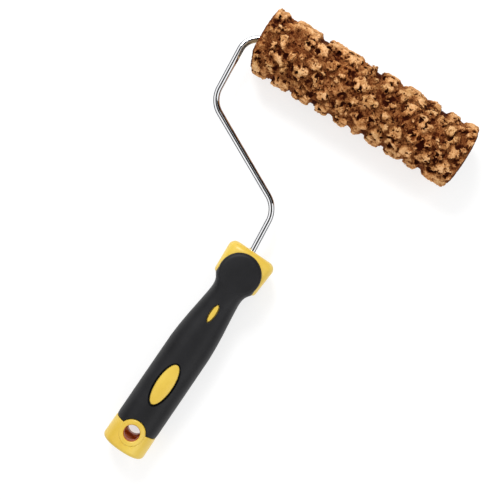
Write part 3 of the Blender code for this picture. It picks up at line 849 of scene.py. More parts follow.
def skin_drop(tree, place_mm, axes, r, broad, fine, warped):
    """How far the skin lies inside the full radius."""
    lumps = math_node(tree, "SUBTRACT", noise(tree, place_mm, LUMP_SCALE, 2.0)["Fac"], LUMP_LEVEL)
    lumps = math_node(tree, "MAXIMUM", math_node(tree, "MULTIPLY", lumps, LUMP_HEIGHT), 0)
    lobes = {"Vector": warped, "Scale": 1 / LOBE_CELL}
    lobes = add_node(tree, "ShaderNodeTexVoronoi", feature="DISTANCE_TO_EDGE", inputs=lobes)
    valley = smooth_fade(tree, lobes.outputs["Distance"], 0.0, VALLEY_REACH, VALLEY_DEPTH, 0.0)
    notches, notched_side = notches_at(tree, axes, r, broad)
    calm = math_node(tree, "MULTIPLY_ADD", notched_side, -CALM, 1.0)
    drop = math_node(tree, "MULTIPLY_ADD", math_node(tree, "ADD", lumps, valley), calm, notches)
    rough = math_node(tree, "MULTIPLY", fine["Fac"], ROUGHNESS)
    drop = math_node(tree, "ADD", drop, math_node(tree, "SUBTRACT", rough, ROUGH_LEVEL))
    return math_node(tree, "MAXIMUM", drop, LEAST_DROP)


# %% [markdown]
# ### Ends, channels and glue
#
# The two ends are cut rough, the free end a little shorter, and one corner of it is trimmed off.
# Cells of three sizes then carve the channels. A last layer next to the tube is left whole, because
# that is where the glue is, and its surface is rough so that it doesn't show as a smooth tube.

# %% The whole field
FREE_END_SHORT = 1.2
END_ROUGHNESS, END_ROUNDING = 3.0, 2.5
TRIM_TURN = math.radians(70.4)
TRIM_SLOPE = (math.sin(TRIM_TURN), math.cos(TRIM_TURN))
TRIM_REACH, TRIM_ROUNDING = 86.6, 2.0
# Each kind of cell has its size, its smallest and largest cavity, and how round its edges are.
CELLS = [(8.5, -1.0, 4.1, None), (4.6, -0.3, 2.35, 0.5), (2.5, 0.0, 1.15, 0.3)]
CELL_SHIFT = (13.7, 5.3, 9.1)
MOUTH_ROUNDING = 0.4
GLUE_RADIUS, GLUE_ROUGHNESS, GLUE_END_GAP, GLUE_TRIM_MARGIN, LEAST_END_GAP = 21.3, 2.2, 0.6, 1.2, 0.3


def cavities(tree, spot, cell, small, large, number):
    """How far a point is outside the nearest cavity. Cavity radii run from small to large."""
    shifted = vector_math(tree, "ADD", spot, tuple(number * part for part in CELL_SHIFT))
    cells = {"Vector": shifted, "Scale": 1 / cell}
    cells = add_node(tree, "ShaderNodeTexVoronoi", feature="F1", inputs=cells).outputs
    draw = axes_of(tree, cells["Color"])["X"]
    radius = math_node(tree, "MULTIPLY_ADD", draw, large - small, small)
    reach = math_node(tree, "MULTIPLY", cells["Distance"], cell)
    return math_node(tree, "SUBTRACT", reach, radius)


def sponge_field(tree, given):
    """How far a point is inside the sponge, inside its uncarved body, and below its full radius."""
    place_mm, axes, r, broad, fine = field_point(tree)
    warped = warped_point(tree, axes, r, broad, fine)
    drop = skin_drop(tree, place_mm, axes, r, broad, fine, warped)
    skin = math_node(tree, "SUBTRACT", given["Outer radius"], drop)
    under_skin = math_node(tree, "SUBTRACT", skin, r)

    end_gap = math_node(tree, "SUBTRACT", given["Half length"], math_node(tree, "ABSOLUTE", axes["X"]))
    end_drop = math_node(tree, "MULTIPLY", broad["Fac"], END_ROUGHNESS)
    free_half = math_node(tree, "GREATER_THAN", axes["X"], 0.0)
    short = math_node(tree, "MULTIPLY", free_half, FREE_END_SHORT)
    under_end = math_node(tree, "SUBTRACT", end_gap, math_node(tree, "ADD", end_drop, short))
    trimmed = math_node(tree, "MULTIPLY_ADD", axes["X"], TRIM_SLOPE[0], TRIM_REACH)
    trimmed = math_node(tree, "MULTIPLY_ADD", axes["Y"], TRIM_SLOPE[1], trimmed)
    body = smooth_min(tree, under_skin, under_end, END_ROUNDING)
    body = smooth_min(tree, body, trimmed, TRIM_ROUNDING)

    open_cells = None
    for number, (cell, small, large, rounding) in enumerate(CELLS, 1):
        outside = cavities(tree, warped, cell, small, large, number)
        open_cells = outside if rounding is None else smooth_min(tree, open_cells, outside, rounding)
    carved = smooth_min(tree, body, open_cells, MOUTH_ROUNDING)

    glue = math_node(tree, "MULTIPLY_ADD", fine["Fac"], GLUE_ROUGHNESS, GLUE_RADIUS)
    glue = math_node(tree, "SUBTRACT", glue, r)
    glue_end = math_node(tree, "SUBTRACT", math_node(tree, "SUBTRACT", end_gap, GLUE_END_GAP), short)
    glue = math_node(tree, "MINIMUM", glue, glue_end)
    glue = math_node(tree, "MINIMUM", glue, math_node(tree, "ADD", trimmed, GLUE_TRIM_MARGIN))
    solid = math_node(tree, "MAXIMUM", carved, glue)
    outside_tube = math_node(tree, "SUBTRACT", r, given["Back radius"])
    solid = math_node(tree, "MINIMUM", solid, outside_tube)
    solid = math_node(tree, "MINIMUM", solid, math_node(tree, "SUBTRACT", end_gap, LEAST_END_GAP))
    return solid, body, math_node(tree, "SUBTRACT", given["Outer radius"], r)


# %% The sponge's tree
VOXEL = 0.7
BOX_HALVES = (SPONGE_HALF + 1, SPONGE_RADIUS + 1.2, SPONGE_RADIUS + 1.2)


def store_value(tree, geometry, name, value):
    """Keeps a field's value on each point of a mesh, for the finish to read."""
    kept = {0: geometry, "Name": name, "Value": value}
    kind = "GeometryNodeStoreNamedAttribute"
    return add_node(tree, kind, data_type="FLOAT", domain="POINT", inputs=kept).outputs[0]


def build_sponge():
    inputs = [
        ("Outer radius", FLOAT, SPONGE_RADIUS),
        ("Back radius", FLOAT, SPONGE_BACK_RADIUS),
        ("Half length", FLOAT, SPONGE_HALF),
    ]
    tree, ids, given, result = new_shape_tree("sponge", inputs)
    solid, body, below_skin = sponge_field(tree, given)
    box = {"Density": solid, "Background": -1.0}
    box["Min"] = [-side * MM for side in BOX_HALVES]
    box["Max"] = [side * MM for side in BOX_HALVES]
    for label, side in zip("XYZ", BOX_HALVES):
        box["Resolution " + label] = int(2 * side / VOXEL) + 1
    volume = add_node(tree, "GeometryNodeVolumeCube", inputs=box).outputs[0]
    surface = add_node(tree, "GeometryNodeVolumeToMesh", inputs={0: volume, "Threshold": 0.0})
    mesh = store_value(tree, surface.outputs[0], "below_skin", below_skin)
    mesh = store_value(tree, mesh, "channel_wall", body)
    end_tree(tree, given, result, mesh)
    return tree, ids


SPONGE_TREE = build_sponge()
print("sponge tree has", len(SPONGE_TREE[0].nodes), "nodes")

# %% [markdown]
# ## The sponge's finish
#
# Dried sponge is tan at its trimmed skin, and the finish paints shade into it: red-brown to nearly
# black down in its channels, where little light reaches. The tree stored how far each point lies below
# the full radius and how far it lies inside the uncarved body, so the painted shade darkens by those two and
# not by where the camera is.

# %% Sponge material
# The stops run from tan at the skin to nearly black; the dark stops are painted shade for the channels.
SPONGE_TONES = [
    (0.0, (0.84, 0.50, 0.25)),
    (0.15, (0.60, 0.30, 0.115)),
    (0.33, (0.31, 0.115, 0.035)),
    (0.55, (0.11, 0.026, 0.006)),
    (0.85, (0.03, 0.004, 0.001)),
]
SPONGE_TINTS = [(0.3, (1.0, 0.9, 0.78)), (0.5, (1, 1, 1)), (0.72, (0.86, 0.88, 0.8))]
# How strongly the depth inside the body and below the skin darken the sponge: painted shade.
PAINTED_SHADE_INSIDE, PAINTED_SHADE_BELOW = 0.22, 0.1
# Each is a factor and an offset, so that a noise goes both ways about nothing.
PATCHES, SPECKLE = (0.7, -0.36), (0.8, -0.4)


def sponge_look():
    look, tree, shader, coords = new_look("sea_sponge", 0.92, Specular_IOR_Level=0.05)
    grain = use_group(tree, GRAIN, coords, Grain_per_metre=1500.0, Clouds_per_metre=55.0)
    patches = use_group(tree, GRAIN, coords, Grain_per_metre=420.0, Clouds_per_metre=200.0)
    below = add_node(tree, "ShaderNodeAttribute", attribute_name="below_skin").outputs["Fac"]
    inside = add_node(tree, "ShaderNodeAttribute", attribute_name="channel_wall").outputs["Fac"]
    # depth is painted shade by how far in a point lies, with random patches and speckle of tone added to it.
    depth = math_node(tree, "MULTIPLY", math_node(tree, "ABSOLUTE", inside), PAINTED_SHADE_INSIDE)
    depth = math_node(tree, "MULTIPLY_ADD", below, PAINTED_SHADE_BELOW, depth)
    uneven = math_node(tree, "MULTIPLY_ADD", patches["Clouds"], *PATCHES)
    depth = math_node(tree, "ADD", depth, uneven)
    speckle = math_node(tree, "MULTIPLY_ADD", grain["Grain"], *SPECKLE)
    depth = math_node(tree, "ADD", depth, speckle, clamp=True)
    tone, tint = tone_ramp(tree, depth, SPONGE_TONES), tone_ramp(tree, grain["Clouds"], SPONGE_TINTS)
    colour = blend_colours(tree, 1.0, tone, tint, "MULTIPLY")
    rough = math_node(tree, "MULTIPLY_ADD", grain["Grain"], 0.15, 0.82)
    drive(tree, shader, colour, rough, grain["Grain"], 4e-4, 0.8)
    return look


SPONGE = sponge_look()
print("sponge finish has", len(SPONGE.node_tree.nodes), "nodes")

# %% [markdown]
# Cutting cells from a solid leaves closed bubbles that no one sees and crumbs that hang on nothing.
# Only the largest connected shell is the sponge, so the rest goes.

# %% Keeping one connected shell
def largest_shell(mesh):
    """Removes every part of a mesh that isn't joined to its largest part."""
    edges = np.empty(len(mesh.edges) * 2, dtype=np.int64)
    mesh.edges.foreach_get("vertices", edges)
    first, second = edges.reshape(-1, 2).T
    label = np.arange(len(mesh.vertices))
    while True:
        lowest = np.minimum(label[first], label[second])
        fresh = label.copy()
        np.minimum.at(fresh, label[first], lowest)
        np.minimum.at(fresh, label[second], lowest)
        fresh = fresh[fresh]
        if np.array_equal(fresh, label):
            break
        label = fresh
    keep = np.bincount(label).argmax()
    shape = bmesh.new()
    shape.from_mesh(mesh)
    loose = [vertex for vertex, own in zip(shape.verts, label) if own != keep]
    bmesh.ops.delete(shape, geom=loose, context="VERTS")
    shape.to_mesh(mesh)
    shape.free()
    print("left out", len(loose), "vertices of bubbles and crumbs")


# %% The sponge piece
one_point = bpy.data.meshes.new("sponge_seed")
one_point.from_pydata([(0, 0, 0)], [], [])
sponge_mesh = run_tree("sponge", one_point, SPONGE_TREE, {"Material": SPONGE})
largest_shell(sponge_mesh)
sponge = place("sponge", sponge_mesh, TOOL, SPONGE, "cover", ["sponge_cover"], sharp=None)

# %% [markdown]
# ## The handle's skin
#
# A handle is drawn as a row of sections: at each height, a half width, a half depth and how square
# the oval is. The grip's skin is the only shape that flows, so its sections are smoothed into
# a curve. From the same numbers comes the height of the skin at any spot, and so
# the windows, their yellow islands and the boss follow the skin exactly.

# %% Sections of the handle
GRIP_WALL, GAP = 2.6, 0.3
GRIP_SKIN = np.array([
    (3.3, 16.9, 16.2, 2.2), (4.3, 17.3, 16.6, 2.2), (40, 17.3, 16.4, 2.2), (75, 17.2, 15.9, 2.2),
    (85, 16.6, 15.4, 2.2), (96, 15.5, 14.8, 2.2), (107, 14.1, 14.2, 2.2), (116, 13, 14.5, 2.3),
    (122.5, 12.4, 15.6, 2.8), (126.5, 12.6, 16.5, 3.8), (129.8, 13.6, 17.1, 4.8),
    (131.8, 15, 17.3, 5.2), (133, 16.4, 17.35, 5.5), (141.3, 16.2, 17.4, 6),
])
SMOOTHING = 3.0
heights = np.linspace(GRIP_SKIN[0, 0], GRIP_SKIN[-1, 0], 231)


def smooth_column(column):
    """One size of the skin along the handle, with its corners eased over SMOOTHING mm."""
    spacing = heights[1] - heights[0]
    half = int(SMOOTHING / spacing)
    raw = np.interp(heights, GRIP_SKIN[:, 0], GRIP_SKIN[:, column])
    padded = np.pad(raw, half, mode="reflect", reflect_type="odd")
    window = np.hanning(2 * half + 3)[1:-1]
    return np.convolve(padded, window / window.sum(), mode="valid")


SMOOTH_SKIN = np.stack([heights] + [smooth_column(i) for i in (1, 2, 3)], axis=1)
print("skin sections:", len(SMOOTH_SKIN))


# %% Lofts and skin heights
SECTION_SIDES = 128


def section_radius(angle, width, depth, power):
    across = np.abs(np.cos(angle) / width) ** power
    out = np.abs(np.sin(angle) / depth) ** power
    return (across + out) ** (-1 / power)


def loft_rings(sections, sides=SECTION_SIDES):
    angles = ring_angles(sides)
    rings = []
    for height, width, depth, power in sections:
        radius = section_radius(angles, width, depth, power)
        rings.append(ring(radius * np.cos(angles), height, radius * np.sin(angles)))
    return np.array(rings) * MM


def skin_height(sections, x, height):
    """How far the skin stands out in depth, at spots given as arrays of x and height in mm."""
    sections = np.asarray(sections, dtype=float)
    width, depth, power = (np.interp(height, sections[:, 0], sections[:, i]) for i in (1, 2, 3))
    share = np.clip(np.abs(x / width), 0, 0.999)
    return depth * (1 - share ** power) ** (1 / power)


def oval_column(name, sections, oval, rings, sides=96):
    """A column through the handle's thickness, the same on both faces.

    oval is (centre height, half width, half height). Each ring is (size, grow, below, level): the oval
    times size plus grow, lying below the skin, or at the level if that is given."""
    centre, half_width, half_height = oval
    angles = ring_angles(sides)
    upper = []
    for size, grow, below, level in rings:
        x = (half_width * size + grow) * np.cos(angles)
        height = centre + (half_height * size + grow) * np.sin(angles)
        out = skin_height(sections, x, height) - below if level is None else level
        upper.append(ring(x, height, out))
    upper = np.array(upper)
    lower = upper[::-1] * (1, 1, -1)
    return skin_rings(name, np.concatenate([upper, lower]) * MM)


CUTTER_TOP = 26.0
LIP_TURN = math.radians(78)
PILLOW_SIZES = (0.02, 0.25, 0.5, 0.75, 0.92)


def lip_rings(gap, lip, steps=7):
    """Rings of a cutter that leaves a rounded lip where it meets the skin."""
    rings = [(1, gap + lip * 0.8, 0, CUTTER_TOP), (1, gap + lip * 0.8, -1.0, None)]
    for i in range(steps):
        turn = LIP_TURN * (1 - i / (steps - 1))
        rings.append((1, gap + lip - lip * math.cos(turn), lip - lip * math.sin(turn), None))
    return rings


def pillow_rings(below, edge, crown=0.0, steps=6):
    """Rings of a column whose top follows the skin, crowned a little, with a rounded edge."""
    rings = []
    for size in PILLOW_SIZES:
        rings.append((size, -edge * size, below - crown * (1 - size * size), None))
    for i in range(steps + 1):
        turn = math.pi / 2 * i / steps
        rings.append((1, -edge + edge * math.sin(turn), below + edge * (1 - math.cos(turn)), None))
    return rings


# %% [markdown]
# ## The yellow core
#
# The core is one stiff moulding that shows at the butt, at the collar, and through the windows in
# the grip. It is lofted, and the boss round the hang hole and the two ovals are joined to it. Then
# the pole's thread, the hollow above it, the hang hole and the rod's bore are cut, in the order in
# which a mould's cores would leave them.

# %% The core's sections
BUTT_TOP = 3.0
BUTT_WIDTH, BUTT_DEPTH, BUTT_CORNER, BUTT_POWER = 17.6, 16.8, 3.2, 2.2
COLLAR_TOP, COLLAR_WIDTH, COLLAR_DEPTH, COLLAR_CORNER, COLLAR_POWER = 161.2, 19.6, 14.5, 5.5, 3.4
NECK_TOP = 128.0


def rounded_end(face, inward, width, depth, corner, power, steps=9):
    """Sections of a flat end with a rounded edge. inward is 1 or -1, away from the face."""
    sections = []
    for i in range(steps):
        turn = math.pi / 2 * i / (steps - 1)
        inset = corner * (1 - math.sin(turn))
        height = face + inward * corner * (1 - math.cos(turn))
        sections.append((height, width - inset, depth - inset, power))
    return sections


def grown(sections, amount):
    return [(h, width + amount, depth + amount, power) for h, width, depth, power in sections]


def between(sections, spacing):
    """More sections on the straight lines between the given ones."""
    filled = []
    for low, high in zip(sections, sections[1:]):
        steps = max(1, math.ceil((high[0] - low[0]) / spacing))
        filled += [tuple(np.add(low, np.subtract(high, low) * i / steps)) for i in range(steps)]
    return filled + [tuple(sections[-1])]


butt = rounded_end(BUTT_FACE, 1, BUTT_WIDTH, BUTT_DEPTH, BUTT_CORNER, BUTT_POWER)
butt += [
    (0, 17.4, 16.7, BUTT_POWER), (BUTT_TOP - 0.5, 17.3, 16.6, BUTT_POWER),
    (BUTT_TOP, 16.9, 16.2, BUTT_POWER),
]
wrapped = [tuple(s) for s in SMOOTH_SKIN if 4.3 < s[0] < NECK_TOP][::3]
neck = grown([(BUTT_TOP, *wrapped[0][1:])] + wrapped, -GRIP_WALL - GAP)
under_collar = [
    (133, 16.2, 12.4, COLLAR_POWER), (134, 17.7, 13.8, COLLAR_POWER),
    (135.5, 18.3, COLLAR_DEPTH, COLLAR_POWER),
]
collar_top = rounded_end(COLLAR_TOP, -1, COLLAR_WIDTH, COLLAR_DEPTH, COLLAR_CORNER, COLLAR_POWER)[::-1]
collar = under_collar + collar_top
core_sections = between(butt, 2.0) + neck + between(collar, 2.0)
print("core sections:", len(core_sections))

# %% The boss and the ovals
BOSS = (0.0, 10.1, 10.1)
BOSS_SKIN = [(-14, 17.0, 17.2, BUTT_POWER), (14, 17.0, 17.2, BUTT_POWER)]
HANG_HOLE = (0.0, 6.0, 6.0)
LARGE_OVAL = (42.9, 6.3, 17.2)
SMALL_OVAL = (106.4, 1.9, 7.1)
ISLAND_DROP = 0.8
UNDER_BOSS_RADIUS, UNDER_BOSS_SLOPE, UNDER_BOSS_DROP, CORE_MIDDLE = 9.6, 1.2, 3.0, 10

# Under the boss the core's own skin is sunk, so that the two solids cross at a clear angle.
core_base = loft_rings(core_sections)
spot = np.hypot(core_base[..., 0], core_base[..., 1]) / MM
sunk = np.clip((UNDER_BOSS_RADIUS - spot) / UNDER_BOSS_SLOPE, 0, 1) * UNDER_BOSS_DROP * MM
sunk = np.sign(core_base[..., 2]) * sunk * (np.abs(core_base[..., 2]) > CORE_MIDDLE * MM)
core_base[..., 2] -= sunk
core_base = skin_rings("core", core_base)

boss = oval_column("boss", BOSS_SKIN, BOSS, pillow_rings(0.0, 1.1))
islands = [
    oval_column("large_oval", SMOOTH_SKIN, LARGE_OVAL, pillow_rings(ISLAND_DROP, 0.9, 0.3)),
    oval_column("small_oval", SMOOTH_SKIN, SMALL_OVAL, pillow_rings(ISLAND_DROP, 0.6, 0.15)),
]
hang_hole = oval_column("hang_hole", BOSS_SKIN, HANG_HOLE, lip_rings(0.0, 1.5))
print("boss and", len(islands), "ovals drawn")

# %% The pole socket's thread
SOCKET_RADIUS, SOCKET_TOP = 9.8, 24.0
CORE_OUT_RADIUS, CORE_OUT_TOP = 8.0, 82.0
THREAD_PITCH, THREAD_DEPTH = 5.08, 1.3
THREAD_START, THREAD_END, THREAD_FADE = BUTT_FACE + 3.0, SOCKET_TOP - 1, 3
THREAD_SHARE = 0.55
SOCKET_MOUTH = 11.2


def thread_plug(sides=64):
    """The socket and the hollow above it, with a right-hand thread cut as far as the socket's top."""
    angles = ring_angles(sides)
    rows = [(BUTT_FACE - 4, SOCKET_MOUTH), (BUTT_FACE - 0.2, SOCKET_MOUTH), (BUTT_FACE + 1.4, SOCKET_RADIUS)]
    rows += [(h, SOCKET_RADIUS) for h in np.arange(THREAD_START, THREAD_END, THREAD_PITCH / 9)]
    rows += [(SOCKET_TOP, SOCKET_RADIUS), (SOCKET_TOP + 0.01, CORE_OUT_RADIUS)]
    rows += [(CORE_OUT_TOP - 4, CORE_OUT_RADIUS), (CORE_OUT_TOP, 2.5)]
    rings = []
    for height, radius in rows:
        cut_in = np.zeros(sides)
        if THREAD_START < height < THREAD_END:
            turn = (height / THREAD_PITCH - angles / (2 * math.pi)) % 1
            fade = min(1, (height - THREAD_START) / THREAD_FADE, (THREAD_END - height) / THREAD_FADE)
            cut_in = THREAD_DEPTH * fade * np.clip(1.6 - np.abs(turn - 0.5) * 5, 0, 1)
        size = radius + cut_in * THREAD_SHARE
        rings.append(ring(size * np.cos(angles), height, -size * np.sin(angles)))
    return skin_rings("pole_thread", np.array(rings) * MM)


# %% [markdown]
# Light that gets into the core bounces about in yellow plastic until it comes out orange, and little of
# it comes back out. That shade is painted in: the finish deepens to a dark orange in the hang hole and in
# the socket, which a Mapping node finds in the handle's own axes.

# %% The core's finish, with painted shade inside
HOLLOW_LIMIT = 100


def paint_shade_inside(look, painted_shade_colour):
    """Paints shade into a finish: it turns to the given dark orange in the hang hole and in the pole socket.
    """
    tree = look.node_tree
    base = tree.nodes["Principled BSDF"].inputs["Base Color"]
    outer = base.links[0].from_socket
    inverse = HANDLE.inverted()
    to_handle = {
        "Vector": add_node(tree, "ShaderNodeTexCoord").outputs["Object"],
        "Location": inverse.translation,
        "Rotation": inverse.to_euler(),
    }
    local = add_node(tree, "ShaderNodeMapping", vector_type="POINT", inputs=to_handle).outputs[0]
    x, height, out = axes_of(tree, local)

    def near(first, second, radius, soft):
        reach = hypotenuse(tree, second, first)
        return smooth_fade(tree, reach, radius * MM, (radius + soft) * MM, 1.0, 0.0)

    # Masks for the painted shade: the hang hole's wall, and the socket between the butt face and the hollow's
    # limit.
    in_hole = near(x, height, HANG_HOLE[1] + 0.05, 0.5)
    in_socket = near(x, out, SOCKET_RADIUS + THREAD_DEPTH, 0.3)
    off_face = math_node(tree, "GREATER_THAN", height, (BUTT_FACE + 1.0) * MM)
    below_top = math_node(tree, "LESS_THAN", height, HOLLOW_LIMIT * MM)
    in_socket = math_node(tree, "MULTIPLY", in_socket, math_node(tree, "MULTIPLY", off_face, below_top))
    inside = math_node(tree, "MAXIMUM", in_hole, in_socket)
    feed(tree, base, blend_colours(tree, inside, outer, (*painted_shade_colour, 1)))


# A dark orange painted shade, for the light that fades in the hang hole and the socket.
paint_shade_inside(YELLOW, (0.50, 0.10, 0.008))
print("inside of the core shaded")

# %% The whole core
bore_points = ROD_PATH[-BEND_STEPS - 4:]
bore_mesh = swept("rod_bore", bore_points, ROD_RADIUS + GAP, CHROME, sides=32)
bore_mesh.transform(HANDLE.inverted() @ TOOL)
core_steps = [("UNION", boss)] + [("UNION", mesh) for mesh in islands]
core_steps += [("DIFFERENCE", thread_plug()), ("DIFFERENCE", hang_hole), ("DIFFERENCE", bore_mesh)]
core_mesh = combine("handle_core", core_base, core_steps)
place("core", core_mesh, HANDLE, YELLOW, "handle", ["handle_core"])

# %% [markdown]
# ## The soft grip
#
# The grip is moulded over the core, and it ends in a round pad on each face of the collar. Its
# windows have rounded lips, because a soft material can't hold a sharp edge, and those lips are
# what catches the light. The cutters carry the lip's curve, so that it follows the skin.

# %% The grip's solid
BULB_H, BULB_RADIUS, BULB_DEPTH, BULB_EDGE, BULB_STEPS = 141.3, 16.4, 17.5, 3.5, 11
WINDOW_GAP = 0.75
inner_skin = grown([tuple(s) for s in SMOOTH_SKIN if s[0] < NECK_TOP][::3], -GRIP_WALL)
inner_skin.append((BULB_H, 12, 12, COLLAR_POWER))
lower_lip = [
    (3.25, 15.4, 14.7, 2.2), (3.3, 16.3, 15.6, 2.2), (3.45, 16.75, 16.05, 2.2), (3.75, 17.05, 16.35, 2.2),
]
outer_skin = lower_lip + [tuple(s) for s in SMOOTH_SKIN if s[0] > 4.2][::2] + [tuple(SMOOTH_SKIN[-1])]
grip_base = skin_rings("grip", loft_rings(outer_skin + inner_skin[::-1]), loop=True)


def bulb_rings():
    """The round pads that close the grip over the collar."""
    flat, rim = BULB_DEPTH - BULB_EDGE, BULB_RADIUS - BULB_EDGE
    rows = [(0.4, BULB_DEPTH), (4, BULB_DEPTH - 0.03), (8, BULB_DEPTH - 0.15), (rim - 1.5, BULB_DEPTH - 0.32)]
    for i in range(1, BULB_STEPS + 1):
        turn = math.pi / 2 * i / BULB_STEPS
        rows.append((rim + BULB_EDGE * math.sin(turn), flat + (BULB_EDGE - 0.4) * math.cos(turn)))
    rows += [(radius, -out) for radius, out in reversed(rows)]
    angles = ring_angles(SECTION_SIDES)
    return [ring(r * np.cos(angles), BULB_H + r * np.sin(angles), out) for r, out in rows]


bulb = skin_rings("bulb", np.array(bulb_rings()) * MM)
room = skin_rings("core_room", loft_rings(grown(neck + between(collar, 2.0), GAP)))
notch = oval_column("boss_notch", SMOOTH_SKIN, BOSS, lip_rings(GAP, 0.8))
large_cut = oval_column("large_window", SMOOTH_SKIN, LARGE_OVAL, lip_rings(WINDOW_GAP, 0.9))
small_cut = oval_column("small_window", SMOOTH_SKIN, SMALL_OVAL, lip_rings(WINDOW_GAP, 0.6))
grip_steps = [("UNION", bulb)] + [("DIFFERENCE", mesh) for mesh in (room, notch, large_cut, small_cut)]
grip_mesh = combine("grip_sleeve", grip_base, grip_steps)
place("grip", grip_mesh, HANDLE, GRIP, "handle", ["grip_sleeve"])

# %% [markdown]
# ## The tube in the cover
#
# The sponge is glued to a tube wound from strips of paper board and soaked in resin, so that it
# survives washing. The winding leaves a slanted seam and fine fibres, seen in the bore and on the
# two ends. The tube itself is turned, and the seam is in its finish.

# %% The tube
TUBE_BORE, TUBE_RADIUS = 19.0, 21.0
TUBE_ENDS = (-85.5, 86.9)
STRIP_WIDTH, SEAM_HALF = 0.045, 0.012
SEAM_COLOUR = (0.16, 0.1, 0.05, 1)


def tube_look():
    look, tree, shader, coords = new_look("wound_board", 0.62)
    grain = use_group(tree, GRAIN, coords, Grain_per_metre=1500.0, Clouds_per_metre=80.0)
    x, y, z = axes_of(tree, vector_math(tree, "SUBTRACT", coords, tuple(spin["pos_m"])))
    turn = math_node(tree, "DIVIDE", math_node(tree, "ARCTAN2", y, z), 2 * math.pi)
    along = math_node(tree, "DIVIDE", x, STRIP_WIDTH)
    strip = math_node(tree, "FRACT", math_node(tree, "ADD", along, turn))
    off_seam = math_node(tree, "ABSOLUTE", math_node(tree, "SUBTRACT", strip, 0.5))
    seam = math_node(tree, "LESS_THAN", off_seam, SEAM_HALF)
    board = clouded(tree, grain, (0.40, 0.26, 0.13), (0.56, 0.40, 0.22))
    fibres = math_node(tree, "MULTIPLY", grain["Specks"], 0.5)
    colour = blend_colours(tree, math_node(tree, "MAXIMUM", seam, fibres), board, SEAM_COLOUR)
    rough = math_node(tree, "MULTIPLY_ADD", grain["Grain"], 0.25, 0.5)
    relief = math_node(tree, "MULTIPLY_ADD", seam, -0.8, grain["Grain"])
    drive(tree, shader, colour, rough, relief, 6e-5)
    return look


BOARD = tube_look()
low, high = TUBE_ENDS
tube_profile = [(TUBE_RADIUS, high), (TUBE_RADIUS, low), (TUBE_BORE, low), (TUBE_BORE, high)]
tube_mesh = turned("core_tube", rounded(tube_profile, 0.5), sides=128)
place("tube", tube_mesh, TOOL, BOARD, "cover", ["core_tube"])

# %% [markdown]
# ## The cage's end caps and bushes
#
# The cover slides over a cage. Its caps are moulded: the inner one is a hub and a rim joined by
# a thin web, and the outer one has a pocket where the push nut sits. Ribs round each cap take up
# play in the tube. Ten equal ribs are a job for Geometry Nodes: one rib, instanced round
# the axis.

# %% Profiles of the caps and bushes
BORE = ROD_RADIUS + GAP
INNER_CAP, OUTER_CAP = (-76.3, -66.3), (70.5, 86.5)
CAP_RADIUS, HUB_RADIUS, RIM_BORE, POCKET_RADIUS, POCKET_FLOOR = 18.4, 10.5, 13.2, 10.0, 78.5
BUSH_RADIUS, FLANGE_RADIUS = 6.0, 8.4
BUSH_SEAT = BUSH_RADIUS + 0.1

low, high = INNER_CAP
inner_cap_profile = [
    (CAP_RADIUS - 0.8, high), (CAP_RADIUS, high - 0.8), (CAP_RADIUS, low + 1.5), (CAP_RADIUS - 1.5, low),
    (15.2, low), (14.4, low + 0.7), (9.6, low + 0.7), (8.9, low), (BUSH_SEAT, low), (BUSH_SEAT, high),
    (HUB_RADIUS - 0.3, high), (HUB_RADIUS, low + 3), (RIM_BORE, low + 3), (RIM_BORE + 0.3, high),
]
low, high = OUTER_CAP
outer_cap_profile = [
    (CAP_RADIUS - 2, high), (CAP_RADIUS, high - 2), (CAP_RADIUS, low + 0.8), (CAP_RADIUS - 0.8, low),
    (14.8, low), (14.3, low + 5), (9.2, low + 5), (8.8, low), (BUSH_SEAT, low), (BUSH_SEAT, POCKET_FLOOR),
    (POCKET_RADIUS, POCKET_FLOOR), (POCKET_RADIUS + 0.2, high - 0.6), (POCKET_RADIUS + 0.8, high),
    (13.0, high), (13.4, high - 0.5), (14.2, high - 0.5), (14.6, high),
]
inner_bush_profile = [
    (BUSH_RADIUS, -66.3), (BUSH_RADIUS, -76.6), (FLANGE_RADIUS, -76.6), (FLANGE_RADIUS, -78.1),
    (BORE + 0.4, -78.1), (BORE, -77.7), (BORE, -66.3),
]
outer_bush_profile = [
    (FLANGE_RADIUS, 80.3), (FLANGE_RADIUS, 78.8), (BUSH_RADIUS, 78.8), (BUSH_RADIUS, 70.5),
    (BORE, 70.5), (BORE, 79.9), (BORE + 0.4, 80.3),
]

# %% The ribs' tree
RIB_COPIES, RIB_HEIGHT, RIB_WIDTH_SHARE = 10, 0.55, 1.6


def build_ribs():
    inputs = [
        ("Copies", COUNT, RIB_COPIES),
        ("Radius", FLOAT, 0.0184),
        ("Start", FLOAT, 0.0),
        ("Length", FLOAT, 0.008),
        ("Height", FLOAT, 0.0006),
    ]
    tree, ids, given, result = new_shape_tree("ribs", inputs)
    half = math_node(tree, "MULTIPLY", given["Length"], 0.5)
    width = math_node(tree, "MULTIPLY", given["Height"], RIB_WIDTH_SHARE)
    middle = math_node(tree, "ADD", given["Start"], half)
    ball = {"Segments": 16, "Rings": 10, "Radius": 1.0}
    ball = add_node(tree, "GeometryNodeMeshUVSphere", inputs=ball).outputs[0]
    size = vector_of(tree, half, width, given["Height"])
    spot = vector_of(tree, middle, None, given["Radius"])
    rib = {"Geometry": ball, "Translation": spot, "Scale": size}
    rib = add_node(tree, "GeometryNodeTransform", inputs=rib).outputs[0]
    end_tree(tree, given, result, copies_round_axis(tree, given["Copies"], rib))
    return tree, ids


RIBS = build_ribs()


def ribs(name, start, length, look):
    """Ribs sunk a little into a cap, from start over length mm along the axis."""
    values = {
        "Copies": RIB_COPIES,
        "Radius": (CAP_RADIUS - 0.1) * MM,
        "Start": start * MM,
        "Length": length * MM,
        "Height": RIB_HEIGHT * MM,
        "Material": look,
    }
    return run_tree(name, bpy.data.meshes.new(name), RIBS, values)


